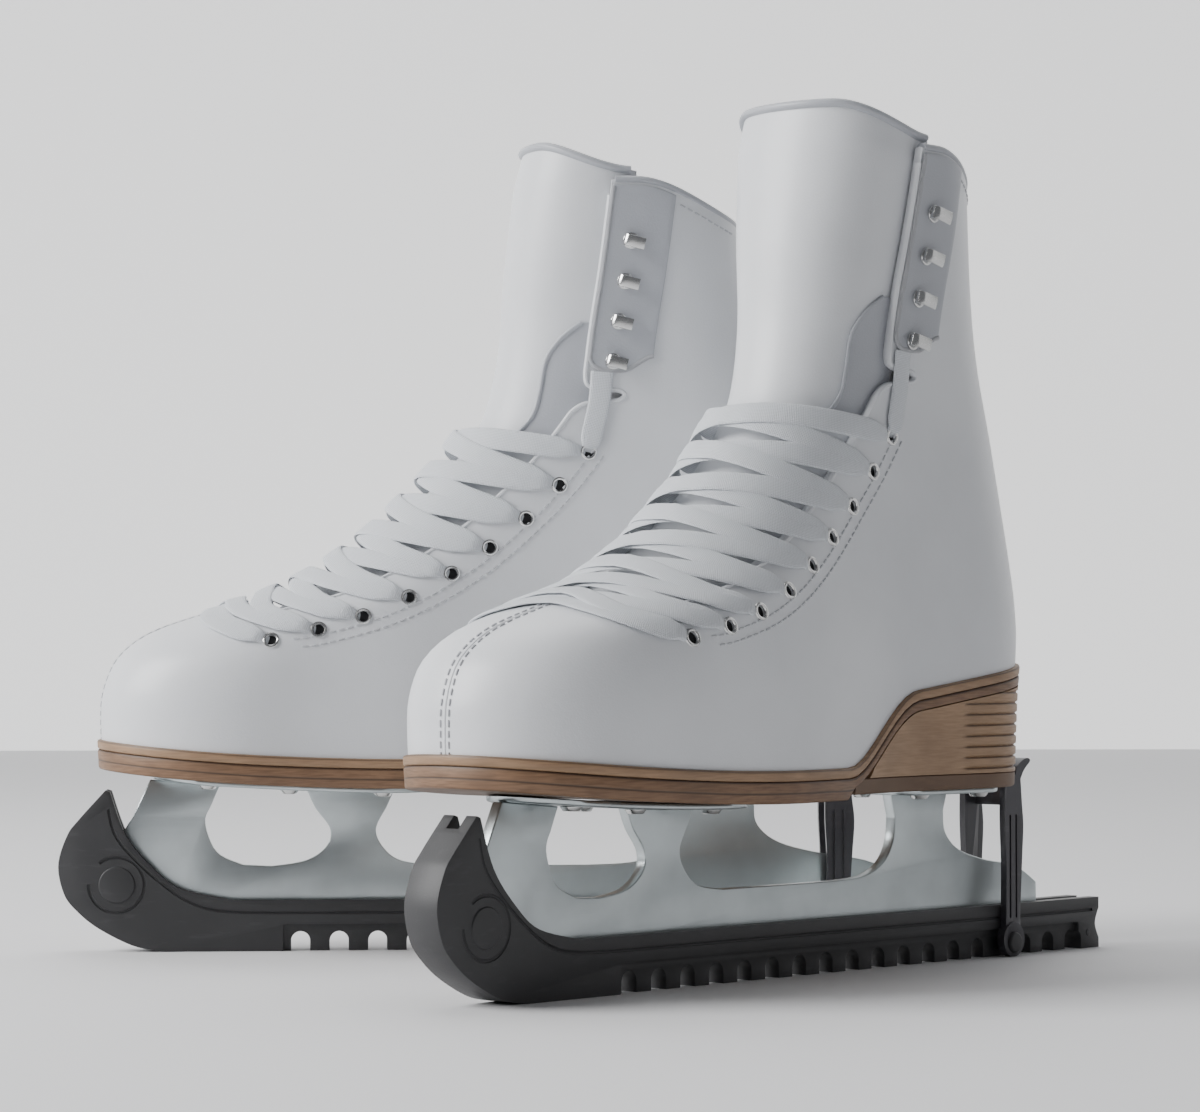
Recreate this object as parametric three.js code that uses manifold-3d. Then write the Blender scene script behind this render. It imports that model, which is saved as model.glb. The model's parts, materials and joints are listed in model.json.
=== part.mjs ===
// A pair of figure skates wearing plastic blade guards, built as a three.js scene graph.
// Units are millimetres and +Z is up. Toes point towards -Y; the left skate stands at +X.
// Each skate is drawn in its own frame: x runs towards the toe, y to the left, z up from the
// floor, and the guard stands on z = 0. The right skate is the left one mirrored.
import * as THREE from "three";
import { mergeVertices } from "three/addons/utils/BufferGeometryUtils.js";
import Module from "manifold-3d";

const wasm = await Module();
wasm.setup();

// ---------------------------------------------------------------- driving dimensions
const GAP = 0.3; // running gap left between pieces that touch
const TOE_OUT = THREE.MathUtils.degToRad(21.2); // each skate is turned out by this much
const STANCE_HALF = 66; // half the sideways distance between the two skates' origins
const STANCE_STEP = 15; // the left skate stands back, and the right one forward, by this

const TOE_X = 148; // front of the toe box
const HEEL_X = -99; // back of the boot at the heel
const BOOT_WIDTH = 86; // width across the ball of the foot
const FEATHER_Z = 67; // where the upper meets the sole, under the ball of the foot
const TOE_SPRING = 6; // how much the sole's edge rises towards the toe
const BALL_X = 40; // where the toe spring begins
const HEEL_RISE = 24; // how much the sole's edge climbs in front of the heel
const RISE_FROM = 14; // where that climb begins
const RISE_TO = -30; // where it ends
const HEEL_SLOPE = 0.13; // gentle slope from there to the back
const SOLE_THICK = 10; // welt and outsole together, under the ball
const WELT_THICK = 3; // the light strip on top of the outsole
const SOLE_PROUD = 1.5; // the sole stands out from the upper by this much
const HEEL_BASE_Z = 58.5; // underside of the heel
const HEEL_LIFT = 5; // thickness of the heel's bottom layer
const HEEL_FRONT_X = -2; // front of the heel block at its base

const LEATHER = 3; // thickness of the upper
const CUFF_Z = 264; // top of the cuff beside the tongue
const CUFF_BACK_Z = 251; // top of the cuff behind the leg
const LINING_THICK = 4;
const LINING_FROM_Z = 150;
const TONGUE_THICK = 4.5;
const TONGUE_TOP_Z = 278;
const TONGUE_HINGE_Z = 192; // the free part of the tongue bends here
const TONGUE_LAP = 9; // how far the tongue reaches under the facings

const HOOK_STRIP_WIDTH = 23;
const HOOK_STRIP_THICK = 1;
const HOOKS = 4; // on each side
const HOOK_PITCH = 13.7;
const HOOK_FROM_Z = 202.5;
const HOOK_BACK = 9; // distance from the flap's front edge to the hooks
const LACE_HALF = 3; // half the width of a lace
const LACE_THICK = 1.3;
const EYELET_RADIUS = 2.4;
const LACE_PLUG = 1.7; // the lace gathered up inside an eyelet

const BLADE_THICK = 4;
const BLADE_EDGE_Z = 8.8; // the skating edge, just above the guard's floor
const BLADE_TOP_Z = 29; // top of the runner between the stanchions
const BLADE_TAIL_X = -130;
const PLATE_THICK = 2;
const SCREW_RADIUS = 1.7;
const SCREW_HEAD_RADIUS = 3.4;
const SCREW_HEAD = 1.2;
const SCREW_DEPTH = 6;

const GUARD_NOSE_X = 163;
const GUARD_TAIL_X = -160;
const GUARD_TOP_Z = 17.5;
const GUARD_FLOOR_Z = 8.3; // bottom of the channel that holds the blade
const GUARD_HALF = 6.8; // half the width of the channel walls
const COMB_HALF = 4.6; // half the thickness of the teeth
const CHANNEL_STEP_Z = 9.4; // underside of the channel walls
const SLOT_HALF = 2.5; // half the width of the slot
const NOTCHES = 18;
const NOTCH_FIRST_X = 80;
const NOTCH_PITCH = 13.3;
const NOTCH_HALF = 3.3; // half the width of a notch
const NOTCH_TOP_Z = 6.7;
const STRAP_NOTCH = 14; // the strap's pin takes the place of this notch, counted from 0
const PIN_RADIUS = 2.2;
const PIN_Z = 4.2;
const DISC_RADIUS = 6; // round ends of the strap's legs
const STRAP_WALL = 2.4;
const STRAP_TOP_Z = 62;
const STRAP_LEG_HALF = 4; // half the width of a leg, seen from the side

const PIN_X = NOTCH_FIRST_X - STRAP_NOTCH * NOTCH_PITCH;
const STRAP_INNER = GUARD_HALF + 0.5; // inner faces of the strap's legs
const STRAP_OUTER = STRAP_INNER + STRAP_WALL;

// ---------------------------------------------------------------- materials
const finish = (color, roughness, metalness = 0) => ({ color, roughness, metalness });
const WHITE_LEATHER = finish(0xe6eaee, 0.45);
const GREY_LINING = finish(0xb9bcc2, 0.9);
const GREY_LEATHER = finish(0xa9adb5, 0.5);
const TONGUE_LEATHER = finish(0xe2e6ea, 0.5);
const LACE_FABRIC = finish(0xe4e9ee, 0.9);
const FOAM = finish(0xc9ccd0, 0.95);
const TAN_EDGE = finish(0xaf8769, 0.6);
const BROWN_SOLE = finish(0x785037, 0.6);
const BROWN_HEEL = finish(0x83583a, 0.65);
const DARK_RUBBER = finish(0x3a2a22, 0.85);
const BLADE_STEEL = finish(0xc4cdcf, 0.3, 1);
const BRIGHT_METAL = finish(0xd5d8da, 0.2, 1);
const GUARD_PLASTIC = finish(0x3b3b3d, 0.6);
const STRAP_PLASTIC = finish(0x4a4751, 0.45);

// ---------------------------------------------------------------- small helpers
const smooth = (from, to, v) => THREE.MathUtils.smoothstep(v, from, to);
const mix = THREE.MathUtils.lerp;
const vec = (x, y, z) => new THREE.Vector3(x, y, z);

// A smooth function through the given [position, value] points.
function graph(points) {
  const slope = points.map((p, i) => {
    const before = points[Math.max(i - 1, 0)];
    const after = points[Math.min(i + 1, points.length - 1)];
    return (after[1] - before[1]) / (after[0] - before[0]);
  });
  const last = points.length - 1;
  return (at) => {
    if (at <= points[0][0]) return points[0][1];
    if (at >= points[last][0]) return points[last][1];
    const i = points.findIndex((p) => p[0] > at) - 1;
    const [x0, y0] = points[i];
    const [x1, y1] = points[i + 1];
    const step = x1 - x0;
    const t = (at - x0) / step;
    const leaving = t * (1 - t) ** 2 * step * slope[i];
    const arriving = t * t * (t - 1) * step * slope[i + 1];
    return mix(y0, y1, t * t * (3 - 2 * t)) + leaving + arriving;
  };
}

// A manifold solid from a closed three.js geometry.
function solid(geometry) {
  const bare = geometry.index ? geometry.toNonIndexed() : geometry.clone();
  bare.deleteAttribute("normal");
  bare.deleteAttribute("uv");
  const merged = mergeVertices(bare, 1e-4);
  return new wasm.Manifold(
    new wasm.Mesh({
      numProp: 3,
      vertProperties: merged.attributes.position.array,
      triVerts: new Uint32Array(merged.index.array),
    }),
  );
}

// A three.js geometry from a manifold solid.
function geometryOf(manifold) {
  const made = manifold.getMesh();
  return new THREE.BufferGeometry()
    .setAttribute("position", new THREE.BufferAttribute(made.vertProperties, 3))
    .setIndex(new THREE.BufferAttribute(made.triVerts, 1));
}

const joined = (solids) => solids.reduce((whole, next) => whole.add(next));

// A closed solid through a stack of loops of equal length. Point j of a loop faces point
// across - offset - j, and the end loops are closed with quads between facing points.
function loft(loops, offset = 0) {
  const across = loops[0].length;
  const index = [];
  const quad = (a, b, c, d) => {
    if (a !== b && b !== c && a !== c) index.push(a, b, c);
    if (a !== c && c !== d && a !== d) index.push(a, c, d);
  };
  for (let i = 0; i + 1 < loops.length; i += 1) {
    for (let j = 0; j < across; j += 1) {
      const a = i * across + j;
      const b = i * across + ((j + 1) % across);
      quad(a, b, b + across, a + across);
    }
  }
  const top = (loops.length - 1) * across;
  for (let j = 0; j < (across - offset) / 2; j += 1) {
    const near = (across - offset - j) % across;
    const far = (across - offset - j - 1) % across;
    if (far > j) {
      quad(j, near, far, j + 1);
      quad(top + j + 1, top + far, top + near, top + j);
    }
  }
  const position = loops.flat().flatMap((p) => [p.x, p.y, p.z]);
  const geometry = new THREE.BufferGeometry()
    .setAttribute("position", new THREE.Float32BufferAttribute(position, 3))
    .setIndex(index);
  const made = solid(geometry);
  return made.volume() > 0 ? made : solid(geometry.setIndex(index.reverse()));
}

// A Shape through [x, z] points; smoothAll rounds it into a closed spline.
const outline = (points) => new THREE.Shape(points.map(([x, z]) => new THREE.Vector2(x, z)));

// Points along a smooth curve through the given [x, z] points.
const along = (points, steps) =>
  new THREE.SplineCurve(points.map(([x, z]) => new THREE.Vector2(x, z)))
    .getPoints(steps)
    .map((p) => [p.x, p.y]);

// A side-view shape in x and z, made into a slab between two sideways positions.
function slab(shape, from, to, curveSegments = 5) {
  const settings = { depth: to - from, bevelEnabled: false, curveSegments };
  const geometry = new THREE.ExtrudeGeometry(shape, settings);
  geometry.rotateX(Math.PI / 2);
  geometry.translate(0, to, 0);
  return solid(geometry);
}

// A plan-view shape in x and y, made into a slab between two heights.
function layer(shape, from, to, curveSegments = 5) {
  const settings = { depth: to - from, bevelEnabled: false, curveSegments };
  return solid(new THREE.ExtrudeGeometry(shape, settings).translate(0, 0, from));
}

// A cylinder from one point to another.
function rod(from, to, radius, sides = 16) {
  const span = to.clone().sub(from);
  const geometry = new THREE.CylinderGeometry(radius, radius, span.length(), sides);
  geometry.translate(0, span.length() / 2, 0);
  const turn = new THREE.Quaternion();
  turn.setFromUnitVectors(vec(0, 1, 0), span.clone().normalize());
  geometry.applyQuaternion(turn);
  geometry.translate(from.x, from.y, from.z);
  return solid(geometry);
}

// A box between two corners.
function block(x0, y0, z0, x1, y1, z1) {
  const geometry = new THREE.BoxGeometry(x1 - x0, y1 - y0, z1 - z0);
  return solid(geometry.translate((x0 + x1) / 2, (y0 + y1) / 2, (z0 + z1) / 2));
}

// A rectangle with rounded corners, as a plan-view or side-view shape.
function rounded(x0, z0, x1, z1, r) {
  const shape = new THREE.Shape();
  shape.moveTo(x0 + r, z0);
  shape.lineTo(x1 - r, z0);
  shape.absarc(x1 - r, z0 + r, r, -Math.PI / 2, 0);
  shape.absarc(x1 - r, z1 - r, r, 0, Math.PI / 2);
  shape.absarc(x0 + r, z1 - r, r, Math.PI / 2, Math.PI);
  shape.absarc(x0 + r, z0 + r, r, Math.PI, 1.5 * Math.PI);
  return shape;
}

// ---------------------------------------------------------------- the boot's form
// Height of the edge where the upper meets the sole.
function featherZ(x) {
  const spring = TOE_SPRING * (Math.max(x - BALL_X, 0) / (TOE_X - BALL_X)) ** 2;
  const climb = HEEL_RISE * smooth(-RISE_FROM, -RISE_TO, -x);
  return FEATHER_Z + spring + climb + HEEL_SLOPE * Math.max(RISE_TO - x, 0);
}

// Height of the sole's underside in front of the heel.
const soleZ = (x) => FEATHER_Z - SOLE_THICK
  + TOE_SPRING * (Math.max(x - BALL_X, 0) / (TOE_X - BALL_X)) ** 2;

const cuffZ = (x) => mix(CUFF_BACK_Z, CUFF_Z, smooth(-76, -34, x));
const tongueTopZ = (x) => mix(TONGUE_TOP_Z - 10, TONGUE_TOP_Z, smooth(-38, 0, x));

// Back and front of the boot at each height.
const backX = graph([
  [50, HEEL_X + 1], [84, HEEL_X], [110, HEEL_X - 1.5], [140, HEEL_X + 2],
  [170, HEEL_X + 9], [200, HEEL_X + 18], [230, HEEL_X + 24], [285, HEEL_X + 32],
]);
const frontX = graph([
  [50, TOE_X - 1], [84, TOE_X + 0.5], [95, TOE_X - 2], [103, TOE_X - 7], [110, TOE_X - 17],
  [116, TOE_X - 34], [122, TOE_X - 54], [134, TOE_X - 77], [155, TOE_X - 102],
  [181, TOE_X - 124], [202, TOE_X - 132], [236, TOE_X - 135], [285, TOE_X - 141],
]);

// Half widths at the heel and at the ball, and the lengths of the rounded ends.
const scaled = (points) => graph(points.map(([z, w]) => [z, (w * BOOT_WIDTH) / 86]));
const heelHalf = scaled([
  [50, 29], [90, 30.5], [115, 31], [150, 28.5], [190, 28], [215, 29.5], [250, 33.5], [285, 37],
]);
const ballHalf = scaled([
  [50, 41], [84, 43], [100, 42.5], [120, 38], [150, 31], [190, 28], [215, 29.5], [250, 33.5],
  [285, 37],
]);
const frontRound = graph([[50, 56], [84, 58], [110, 60], [125, 56], [160, 46], [195, 36], [285, 36]]);
const backRound = graph([[50, 34], [115, 36], [150, 36], [200, 34], [285, 38]]);
const ROUNDNESS = 2.2; // 2 is an ellipse, more is squarer
const round = (d) => (1 - (1 - THREE.MathUtils.clamp(d, 0, 1)) ** ROUNDNESS) ** (1 / ROUNDNESS);

// Below the ankle a deeper surface also lies lower, so that the instep keeps its thickness.
const sunk = (z, inset) => z + inset * (1 - smooth(180, 205, z)) * smooth(90, 105, z);
const front = (z, inset) => frontX(sunk(z, inset)) - inset;
const back = (z, inset) => backX(z) + inset;

// Half width of the boot at a place seen from the side. Inset moves the surface inwards.
function halfWidth(x, z, inset = 0) {
  const fore = front(z, inset) - x;
  const aft = x - back(z, inset);
  if (fore <= 0 || aft <= 0) return 0;
  const width = mix(heelHalf(z), ballHalf(z), smooth(-30, 55, x)) - inset;
  return width * round(fore / (frontRound(z) - inset)) * round(aft / (backRound(z) - inset));
}

// The toe leans towards the other foot.
const middleY = (x, z) => -5 * smooth(50, TOE_X, x) * (1 - smooth(95, 125, z));

// A point of the boot's surface at x and z, seen from the side; side is 1 or -1.
const skin = (x, z, side, inset = 0) =>
  vec(x, middleY(x, z) + side * halfWidth(x, z, inset), z);

// Outward direction of the surface there.
function outward(x, z, side) {
  const d = 0.4;
  const fore = skin(x + d, z, side).sub(skin(x - d, z, side));
  const upward = skin(x, z + d, side).sub(skin(x, z - d, side));
  return upward.cross(fore).normalize().multiplyScalar(side);
}

const FORM_HEIGHTS = [
  48, 84, 96, 103, 108, 112, 115.5, 119, 124, 131, 140, 152, 168, 186, 206, 232, 260, 284,
];
const FORM_STEPS = 11;

// The whole boot's outer form, moved inwards by the inset, as one solid.
function form(inset, from = 48, to = 284) {
  const heights = [from, ...FORM_HEIGHTS.filter((z) => z > from && z < to), to];
  const loops = heights.map((z) => {
    const x0 = back(z, inset);
    const x1 = front(z, inset);
    const xs = Array.from({ length: FORM_STEPS + 1 }, (_, i) =>
      mix(x0, x1, (1 - Math.cos((Math.PI * i) / FORM_STEPS)) / 2));
    const left = xs.map((x) => skin(x, z, 1, inset));
    const right = xs.slice(1, -1).map((x) => skin(x, z, -1, inset));
    return [...left, ...right.reverse()];
  });
  return loft(loops);
}

// A slab over the boot's whole width between two side-view curves, from x0 to x1.
function band(lower, upper, x0, x1) {
  const inner = Array.from({ length: 29 }, (_, i) => -120 + i * 10);
  const xs = [x0, ...inner.filter((x) => x > x0 && x < x1), x1];
  const below = xs.map((x) => [x, lower(x)]);
  const above = xs.map((x) => [x, upper(x)]).reverse();
  return slab(outline([...below, ...above]), -60, 60);
}

// ---------------------------------------------------------------- the throat
// Eyelets, as seen from the side.
const EYELETS = [
  [90, 107], [74, 110.5], [59, 115], [43.5, 121.5], [29, 129.5], [16, 138.5], [3.5, 148.5],
  [-8, 160], [-18, 171.5],
];
// Edge of the lower facing, from the vamp up to the ankle, then the hook flap's front edge.
const FACING_EDGE = along([
  [101, 121], [93, 116.5], [77, 119.5], [62.5, 124], [48, 130.5], [34.5, 138.5], [22.5, 147.5],
  [11, 158], [0, 169.5], [-9, 181],
], 12);
const FLAP_EDGE = [[-17, 199], [-19, 215], [-22, 235], [-26, 268]];
const NOTCH_EDGE = [[-13, 187], [-22, 189.5], [-34, 186], [-35, 188], [-23, 193.5]];
const AHEAD = [[-26, 300], [190, 300], [190, 121]];

// The side-view region in front of the facings, pushed back and down by lap.
function throat(lap) {
  const lower = FACING_EDGE.map(([x, z]) => [x - lap * 0.6, z - lap * 0.8]);
  const upper = FLAP_EDGE.map(([x, z]) => [x - lap, z]);
  const low = [190, 121 - lap * 0.8];
  return outline([...lower, ...upper, [upper[3][0], 300], AHEAD[1], low]);
}
const notch = () => outline([[-7, 181], ...NOTCH_EDGE, FLAP_EDGE[0], [10, 199]]);

// ---------------------------------------------------------------- boot pieces
function bootUpper() {
  const shell = form(0, 48, 280)
    .intersect(band(featherZ, cuffZ, -110, 160))
    .subtract(form(LEATHER).intersect(band((x) => featherZ(x) + 2, () => 290, -110, 160)));
  const opened = shell.subtract(slab(throat(0), -60, 60)).subtract(slab(notch(), -60, 60));
  const bores = EYELETS.flatMap(([x, z]) => [1, -1].map((side) => {
    const from = skin(x, z, side).addScaledVector(outward(x, z, side), 3);
    const to = skin(x, z, side).addScaledVector(outward(x, z, side), -5.5);
    return rod(from, to, EYELET_RADIUS, 6);
  }));
  return opened.subtract(joined(bores));
}

function lining() {
  const inset = LEATHER + GAP;
  const upTo = (x) => cuffZ(x) - 2;
  return form(inset, 140, 280)
    .intersect(band(() => LINING_FROM_Z, upTo, -110, 20))
    .subtract(form(inset + LINING_THICK, 130, 284))
    .subtract(slab(throat(TONGUE_LAP + 1.2), -60, 60));
}

function footbed() {
  const lower = (x) => featherZ(x) + 2 + GAP;
  const upper = (x) => featherZ(x) + 6;
  return form(LEATHER + 0.4, 48, 130).intersect(band(lower, upper, -110, 160));
}

// The tongue's whole sheet; it is cut in two at the hinge.
function tongueSheet() {
  const inset = LEATHER + GAP;
  const xs = Array.from({ length: 13 }, (_, i) => mix(-60, 160, i / 12));
  const top = xs.map((x) => [x, tongueTopZ(x)]).reverse();
  const below = outline([[-60, 60], [160, 60], ...top]);
  return form(inset, 80, 284)
    .subtract(form(inset + TONGUE_THICK, 70, 285))
    .intersect(slab(throat(TONGUE_LAP), -60, 60))
    .intersect(slab(below, -60, 60));
}
const tongueBase = () =>
  tongueSheet().intersect(block(-60, -60, 60, 160, 60, TONGUE_HINGE_Z - 1.2));
const tongueFlap = () => tongueSheet().intersect(block(-60, -60, TONGUE_HINGE_Z, 160, 60, 300));

function hookStrip(side) {
  const edge = (push, z0, z1) => [
    [mix(-17, -19, (z0 - 199) / 16) - push, z0],
    [-19 - push, 215], [-22 - push, 235],
    [mix(-22, -26, (z1 - 235) / 33) - push, z1],
  ];
  const ahead = edge(1, 200.5, 256);
  const behind = edge(HOOK_STRIP_WIDTH, 200.5, 250).reverse();
  const region = slab(outline([...ahead, ...behind]), side > 0 ? 0 : -60, side > 0 ? 60 : 0);
  const skinOut = form(-GAP - HOOK_STRIP_THICK, 180, 284);
  return skinOut.subtract(form(-GAP, 170, 285)).intersect(region);
}

const hookPlace = (i) => {
  const z = HOOK_FROM_Z + i * HOOK_PITCH;
  return [mix(-17.5, -25, (z - 199) / 62) - HOOK_BACK, z];
};

// A lace hook: a round foot, a short neck and a head bent back over it.
function hook(i, side) {
  const [x, z] = hookPlace(i);
  const foot = skin(x, z, side);
  const out = outward(x, z, side);
  const level = (h) => foot.clone().addScaledVector(out, h);
  const base = GAP * 2 + HOOK_STRIP_THICK;
  const behind = (h) => level(h).add(vec(-4.5, 0, 0));
  return joined([
    rod(level(base), level(base + 1), 2.6, 8),
    rod(level(base + 0.5), level(base + 3.6), 1.1, 6),
    rod(level(base + 3), behind(base + 2.9), 0.9, 6),
  ]);
}

// The lace: flat bars across the tongue between each pair of eyelets, short plugs in the
// eyelets, and the runs that lead on to the next pair, on alternate sides.
function lace() {
  const steps = 8;
  const lift = 1.4;
  const bars = [];
  const bar = (from, to, start, height) => {
    const loops = Array.from({ length: steps + 1 }, (_, k) => {
      const t = k / steps;
      const across = Math.cos(Math.PI * t);
      const side = (across >= 0 ? 1 : -1) * start;
      const x0 = mix(from[0], to[0], t);
      const z0 = mix(from[1], to[1], t);
      const ridge = Math.sqrt(Math.max(1 - across * across, 0));
      const z = z0 + 17 * ridge * 0.62;
      const x1 = front(z, 0) - 0.05;
      const x = mix(x0, x1, ridge);
      const at = Math.abs(across) < 1e-6 ? x1 : x;
      const point = skin(at, z, side);
      const out = outward(Math.min(at, front(z, 0) - 1.2), z, side);
      if (Math.abs(across) < 1e-6) out.y = 0;
      out.normalize();
      const base = point.addScaledVector(out, height);
      const slopeDir = vec(-0.62, 0, 0.78);
      const wide = slopeDir.addScaledVector(out, -slopeDir.dot(out)).normalize();
      const thick = out.clone().multiplyScalar(LACE_THICK);
      const one = base.clone().addScaledVector(wide, LACE_HALF);
      const two = base.clone().addScaledVector(wide, -LACE_HALF);
      return [one, one.clone().add(thick), two.clone().add(thick), two];
    });
    bars.push(loft(loops, 1));
  };
  EYELETS.forEach((place) => bar(place, place, 1, lift));
  const over = (i, side) => {
    const [x, z] = EYELETS[i];
    return skin(x, z, side).addScaledVector(outward(x, z, side), lift + LACE_THICK / 2);
  };
  const links = EYELETS.slice(1).map((_, i) => {
    const side = i % 2 ? 1 : -1;
    return rod(over(i, side), over(i + 1, side), LACE_THICK * 0.45, 4);
  });
  const plugs = EYELETS.flatMap(([x, z]) => [1, -1].map((side) => {
    const out = outward(x, z, side);
    const at = (h) => skin(x, z, side).addScaledVector(out, h);
    return rod(at(-2.8), at(lift + LACE_THICK * 0.8), LACE_PLUG, 4);
  }));
  return joined([...bars, ...links, ...plugs]);
}

// ---------------------------------------------------------------- sole and heel
const soleForm = () => form(-SOLE_PROUD, 48, 130);

function welt() {
  const upper = (x) => featherZ(x) - GAP;
  const lower = (x) => featherZ(x) - GAP - WELT_THICK;
  return soleForm().intersect(band(lower, upper, -120, 170));
}

function outsole() {
  const upper = (x) => featherZ(x) - WELT_THICK - 2 * GAP;
  const lower = (x) => {
    const overHeel = featherZ(x) - WELT_THICK - 2 * GAP - 3;
    return x > HEEL_FRONT_X + 14 ? soleZ(x) : Math.max(soleZ(x), overHeel);
  };
  return soleForm().intersect(band(lower, upper, -120, 170));
}

function heelStack() {
  const upper = (x) => featherZ(x) - WELT_THICK - 3 * GAP - 3;
  const reach = HEEL_FRONT_X - 3;
  const shape = band(() => HEEL_BASE_Z + HEEL_LIFT + GAP, upper, -120, reach);
  return soleForm().intersect(shape);
}

function heelLift() {
  const bored = soleForm()
    .intersect(block(-120, -60, HEEL_BASE_Z, HEEL_FRONT_X - 5, 60, HEEL_BASE_Z + HEEL_LIFT));
  return bored;
}

// ---------------------------------------------------------------- blade, plates, screws
const FRONT_SCREWS = [[112, 11], [52, -13]];
const HEEL_SCREWS = [[-52, 12], [-84, -12]];

// A hole or a shank for a screw that enters upwards through a plate.
const screwAt = (x, y, z, radius, up) => rod(vec(x, y, z), vec(x, y, z + up), radius, 10);
const HEEL_PLATE_Z = HEEL_BASE_Z - GAP - PLATE_THICK;
const frontPlateZ = (x) => soleZ(x) - GAP - PLATE_THICK;

function frontPlate() {
  const shape = new THREE.Shape(
    new THREE.SplineCurve([
      new THREE.Vector2(28, 0), new THREE.Vector2(40, 17), new THREE.Vector2(60, 20),
      new THREE.Vector2(90, 16), new THREE.Vector2(116, 18), new THREE.Vector2(131, 0),
      new THREE.Vector2(116, -18), new THREE.Vector2(90, -16), new THREE.Vector2(60, -20),
      new THREE.Vector2(40, -17), new THREE.Vector2(28, 0),
    ]).getPoints(24).slice(0, -1),
  );
  const plan = layer(shape, 48, 72);
  const plate = plan.intersect(band(frontPlateZ, (x) => soleZ(x) - GAP, 20, 140));
  const holes = FRONT_SCREWS.map(([x, y]) => screwAt(x, y, 50, SCREW_RADIUS + GAP, 20));
  return plate.subtract(joined(holes));
}

function heelPlate() {
  const plan = layer(rounded(-94, -17, -42, 17, 9), HEEL_PLATE_Z, HEEL_BASE_Z - GAP);
  const holes = HEEL_SCREWS.map(([x, y]) => screwAt(x, y, 50, SCREW_RADIUS + GAP, 20));
  return plan.subtract(joined(holes));
}

function screw(x, y, plateZ) {
  const head = plateZ - GAP - SCREW_HEAD;
  return screwAt(x, y, head, SCREW_HEAD_RADIUS, SCREW_HEAD)
    .add(screwAt(x, y, head, SCREW_RADIUS, SCREW_HEAD + SCREW_DEPTH));
}

// Cuts the screws' bores out of a piece they enter.
function bored(piece, screws) {
  const holes = screws.map(([x, y]) => screwAt(x, y, 48, SCREW_RADIUS + GAP, 20));
  return piece.subtract(joined(holes));
}

function blade() {
  const top = (x) => frontPlateZ(x) - GAP;
  const heelTop = HEEL_PLATE_Z - GAP;
  const points = [
    [BLADE_TAIL_X + 4, BLADE_EDGE_Z], [112, BLADE_EDGE_Z],
    ...along([[112, BLADE_EDGE_Z], [132, 10.6], [146, 17], [152, 27]], 8).slice(1),
    [149.5, 33], [143, 38], [138, 46], [132, top(132)],
    [108, top(108)],
    ...along([[111, 50], [113, 44], [109, 34], [100, BLADE_TOP_Z + 0.5]], 7),
    ...along([[90, BLADE_TOP_Z], [78, 31], [71, 36], [70, 42], [75, 49], [78, top(78)]], 9),
    [48, top(48)],
    ...along([[50.5, 49], [54, 42], [52, 36], [46, 31], [34, BLADE_TOP_Z]], 9),
    ...along([[-20, BLADE_TOP_Z], [-36, 30], [-46, 34], [-51, 41], [-52, 49]], 8),
    [-50, heelTop], [-80, heelTop],
    ...along([[-78, 50], [-79, 43], [-86, 37], [-100, 33], [-118, 30], [BLADE_TAIL_X, 24]], 9),
    [BLADE_TAIL_X, BLADE_EDGE_Z + 4],
  ];
  return slab(outline(points), -BLADE_THICK / 2, BLADE_THICK / 2);
}

// ---------------------------------------------------------------- guard and strap
function guard() {
  const N = GUARD_NOSE_X;
  const nose = along([
    [N - 37, 0], [N - 26, 2], [N - 14, 8], [N - 6.5, 14], [N - 2, 20], [N, 30], [N - 3, 40],
    [N - 7, 45.5], [N - 16, 55.5],
  ], 20);
  const brow = along([
    [N - 17.5, 55], [N - 23, 40], [N - 32, 29], [N - 42, 21.5], [N - 60, GUARD_TOP_Z],
  ], 10);
  const tail = [[GUARD_TAIL_X, GUARD_TOP_Z], [GUARD_TAIL_X, 0]];
  const body = slab(outline([...nose, ...brow, ...tail]), -GUARD_HALF, GUARD_HALF);
  const combEnd = NOTCH_FIRST_X + 6;
  const waist = [1, -1].map((side) => {
    const y = side * (GUARD_HALF + COMB_HALF) / 2;
    const half = (GUARD_HALF - COMB_HALF) / 2;
    const from = GUARD_TAIL_X + 12;
    return block(from, y - half, -1, combEnd, y + half + 0.01, CHANNEL_STEP_Z);
  });
  const floor = along([
    [N - 50, GUARD_FLOOR_Z], [N - 30, 9.8], [N - 15, 16.5], [N - 8, 26], [N - 8, 38],
    [N - 15, 58],
  ], 12);
  const slot = slab(
    outline([[GUARD_TAIL_X - 5, GUARD_FLOOR_Z], ...floor, [N - 20, 70], [GUARD_TAIL_X - 5, 70]]),
    -SLOT_HALF,
    SLOT_HALF,
  );
  const notches = Array.from({ length: NOTCHES }, (_, i) => i)
    .filter((i) => i !== STRAP_NOTCH)
    .map((i) => {
      const x = NOTCH_FIRST_X - i * NOTCH_PITCH;
      const arch = new THREE.Shape();
      arch.moveTo(x - NOTCH_HALF, -1);
      arch.lineTo(x + NOTCH_HALF, -1);
      arch.absarc(x, NOTCH_TOP_Z - NOTCH_HALF, NOTCH_HALF, 0, Math.PI);
      return slab(arch, -20, 20, 4);
    });
  const bore = rod(vec(PIN_X, -20, PIN_Z), vec(PIN_X, 20, PIN_Z), PIN_RADIUS + GAP, 16);
  const seat = [1, -1].map((side) => {
    const y0 = side > 0 ? COMB_HALF : -GUARD_HALF - 1;
    return block(PIN_X - 9, y0, -1, PIN_X + 9, y0 + GUARD_HALF + 1 - COMB_HALF, CHANNEL_STEP_Z);
  });
  return body
    .subtract(joined([...waist, ...seat]))
    .subtract(slot)
    .subtract(joined(notches))
    .subtract(bore);
}

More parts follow.
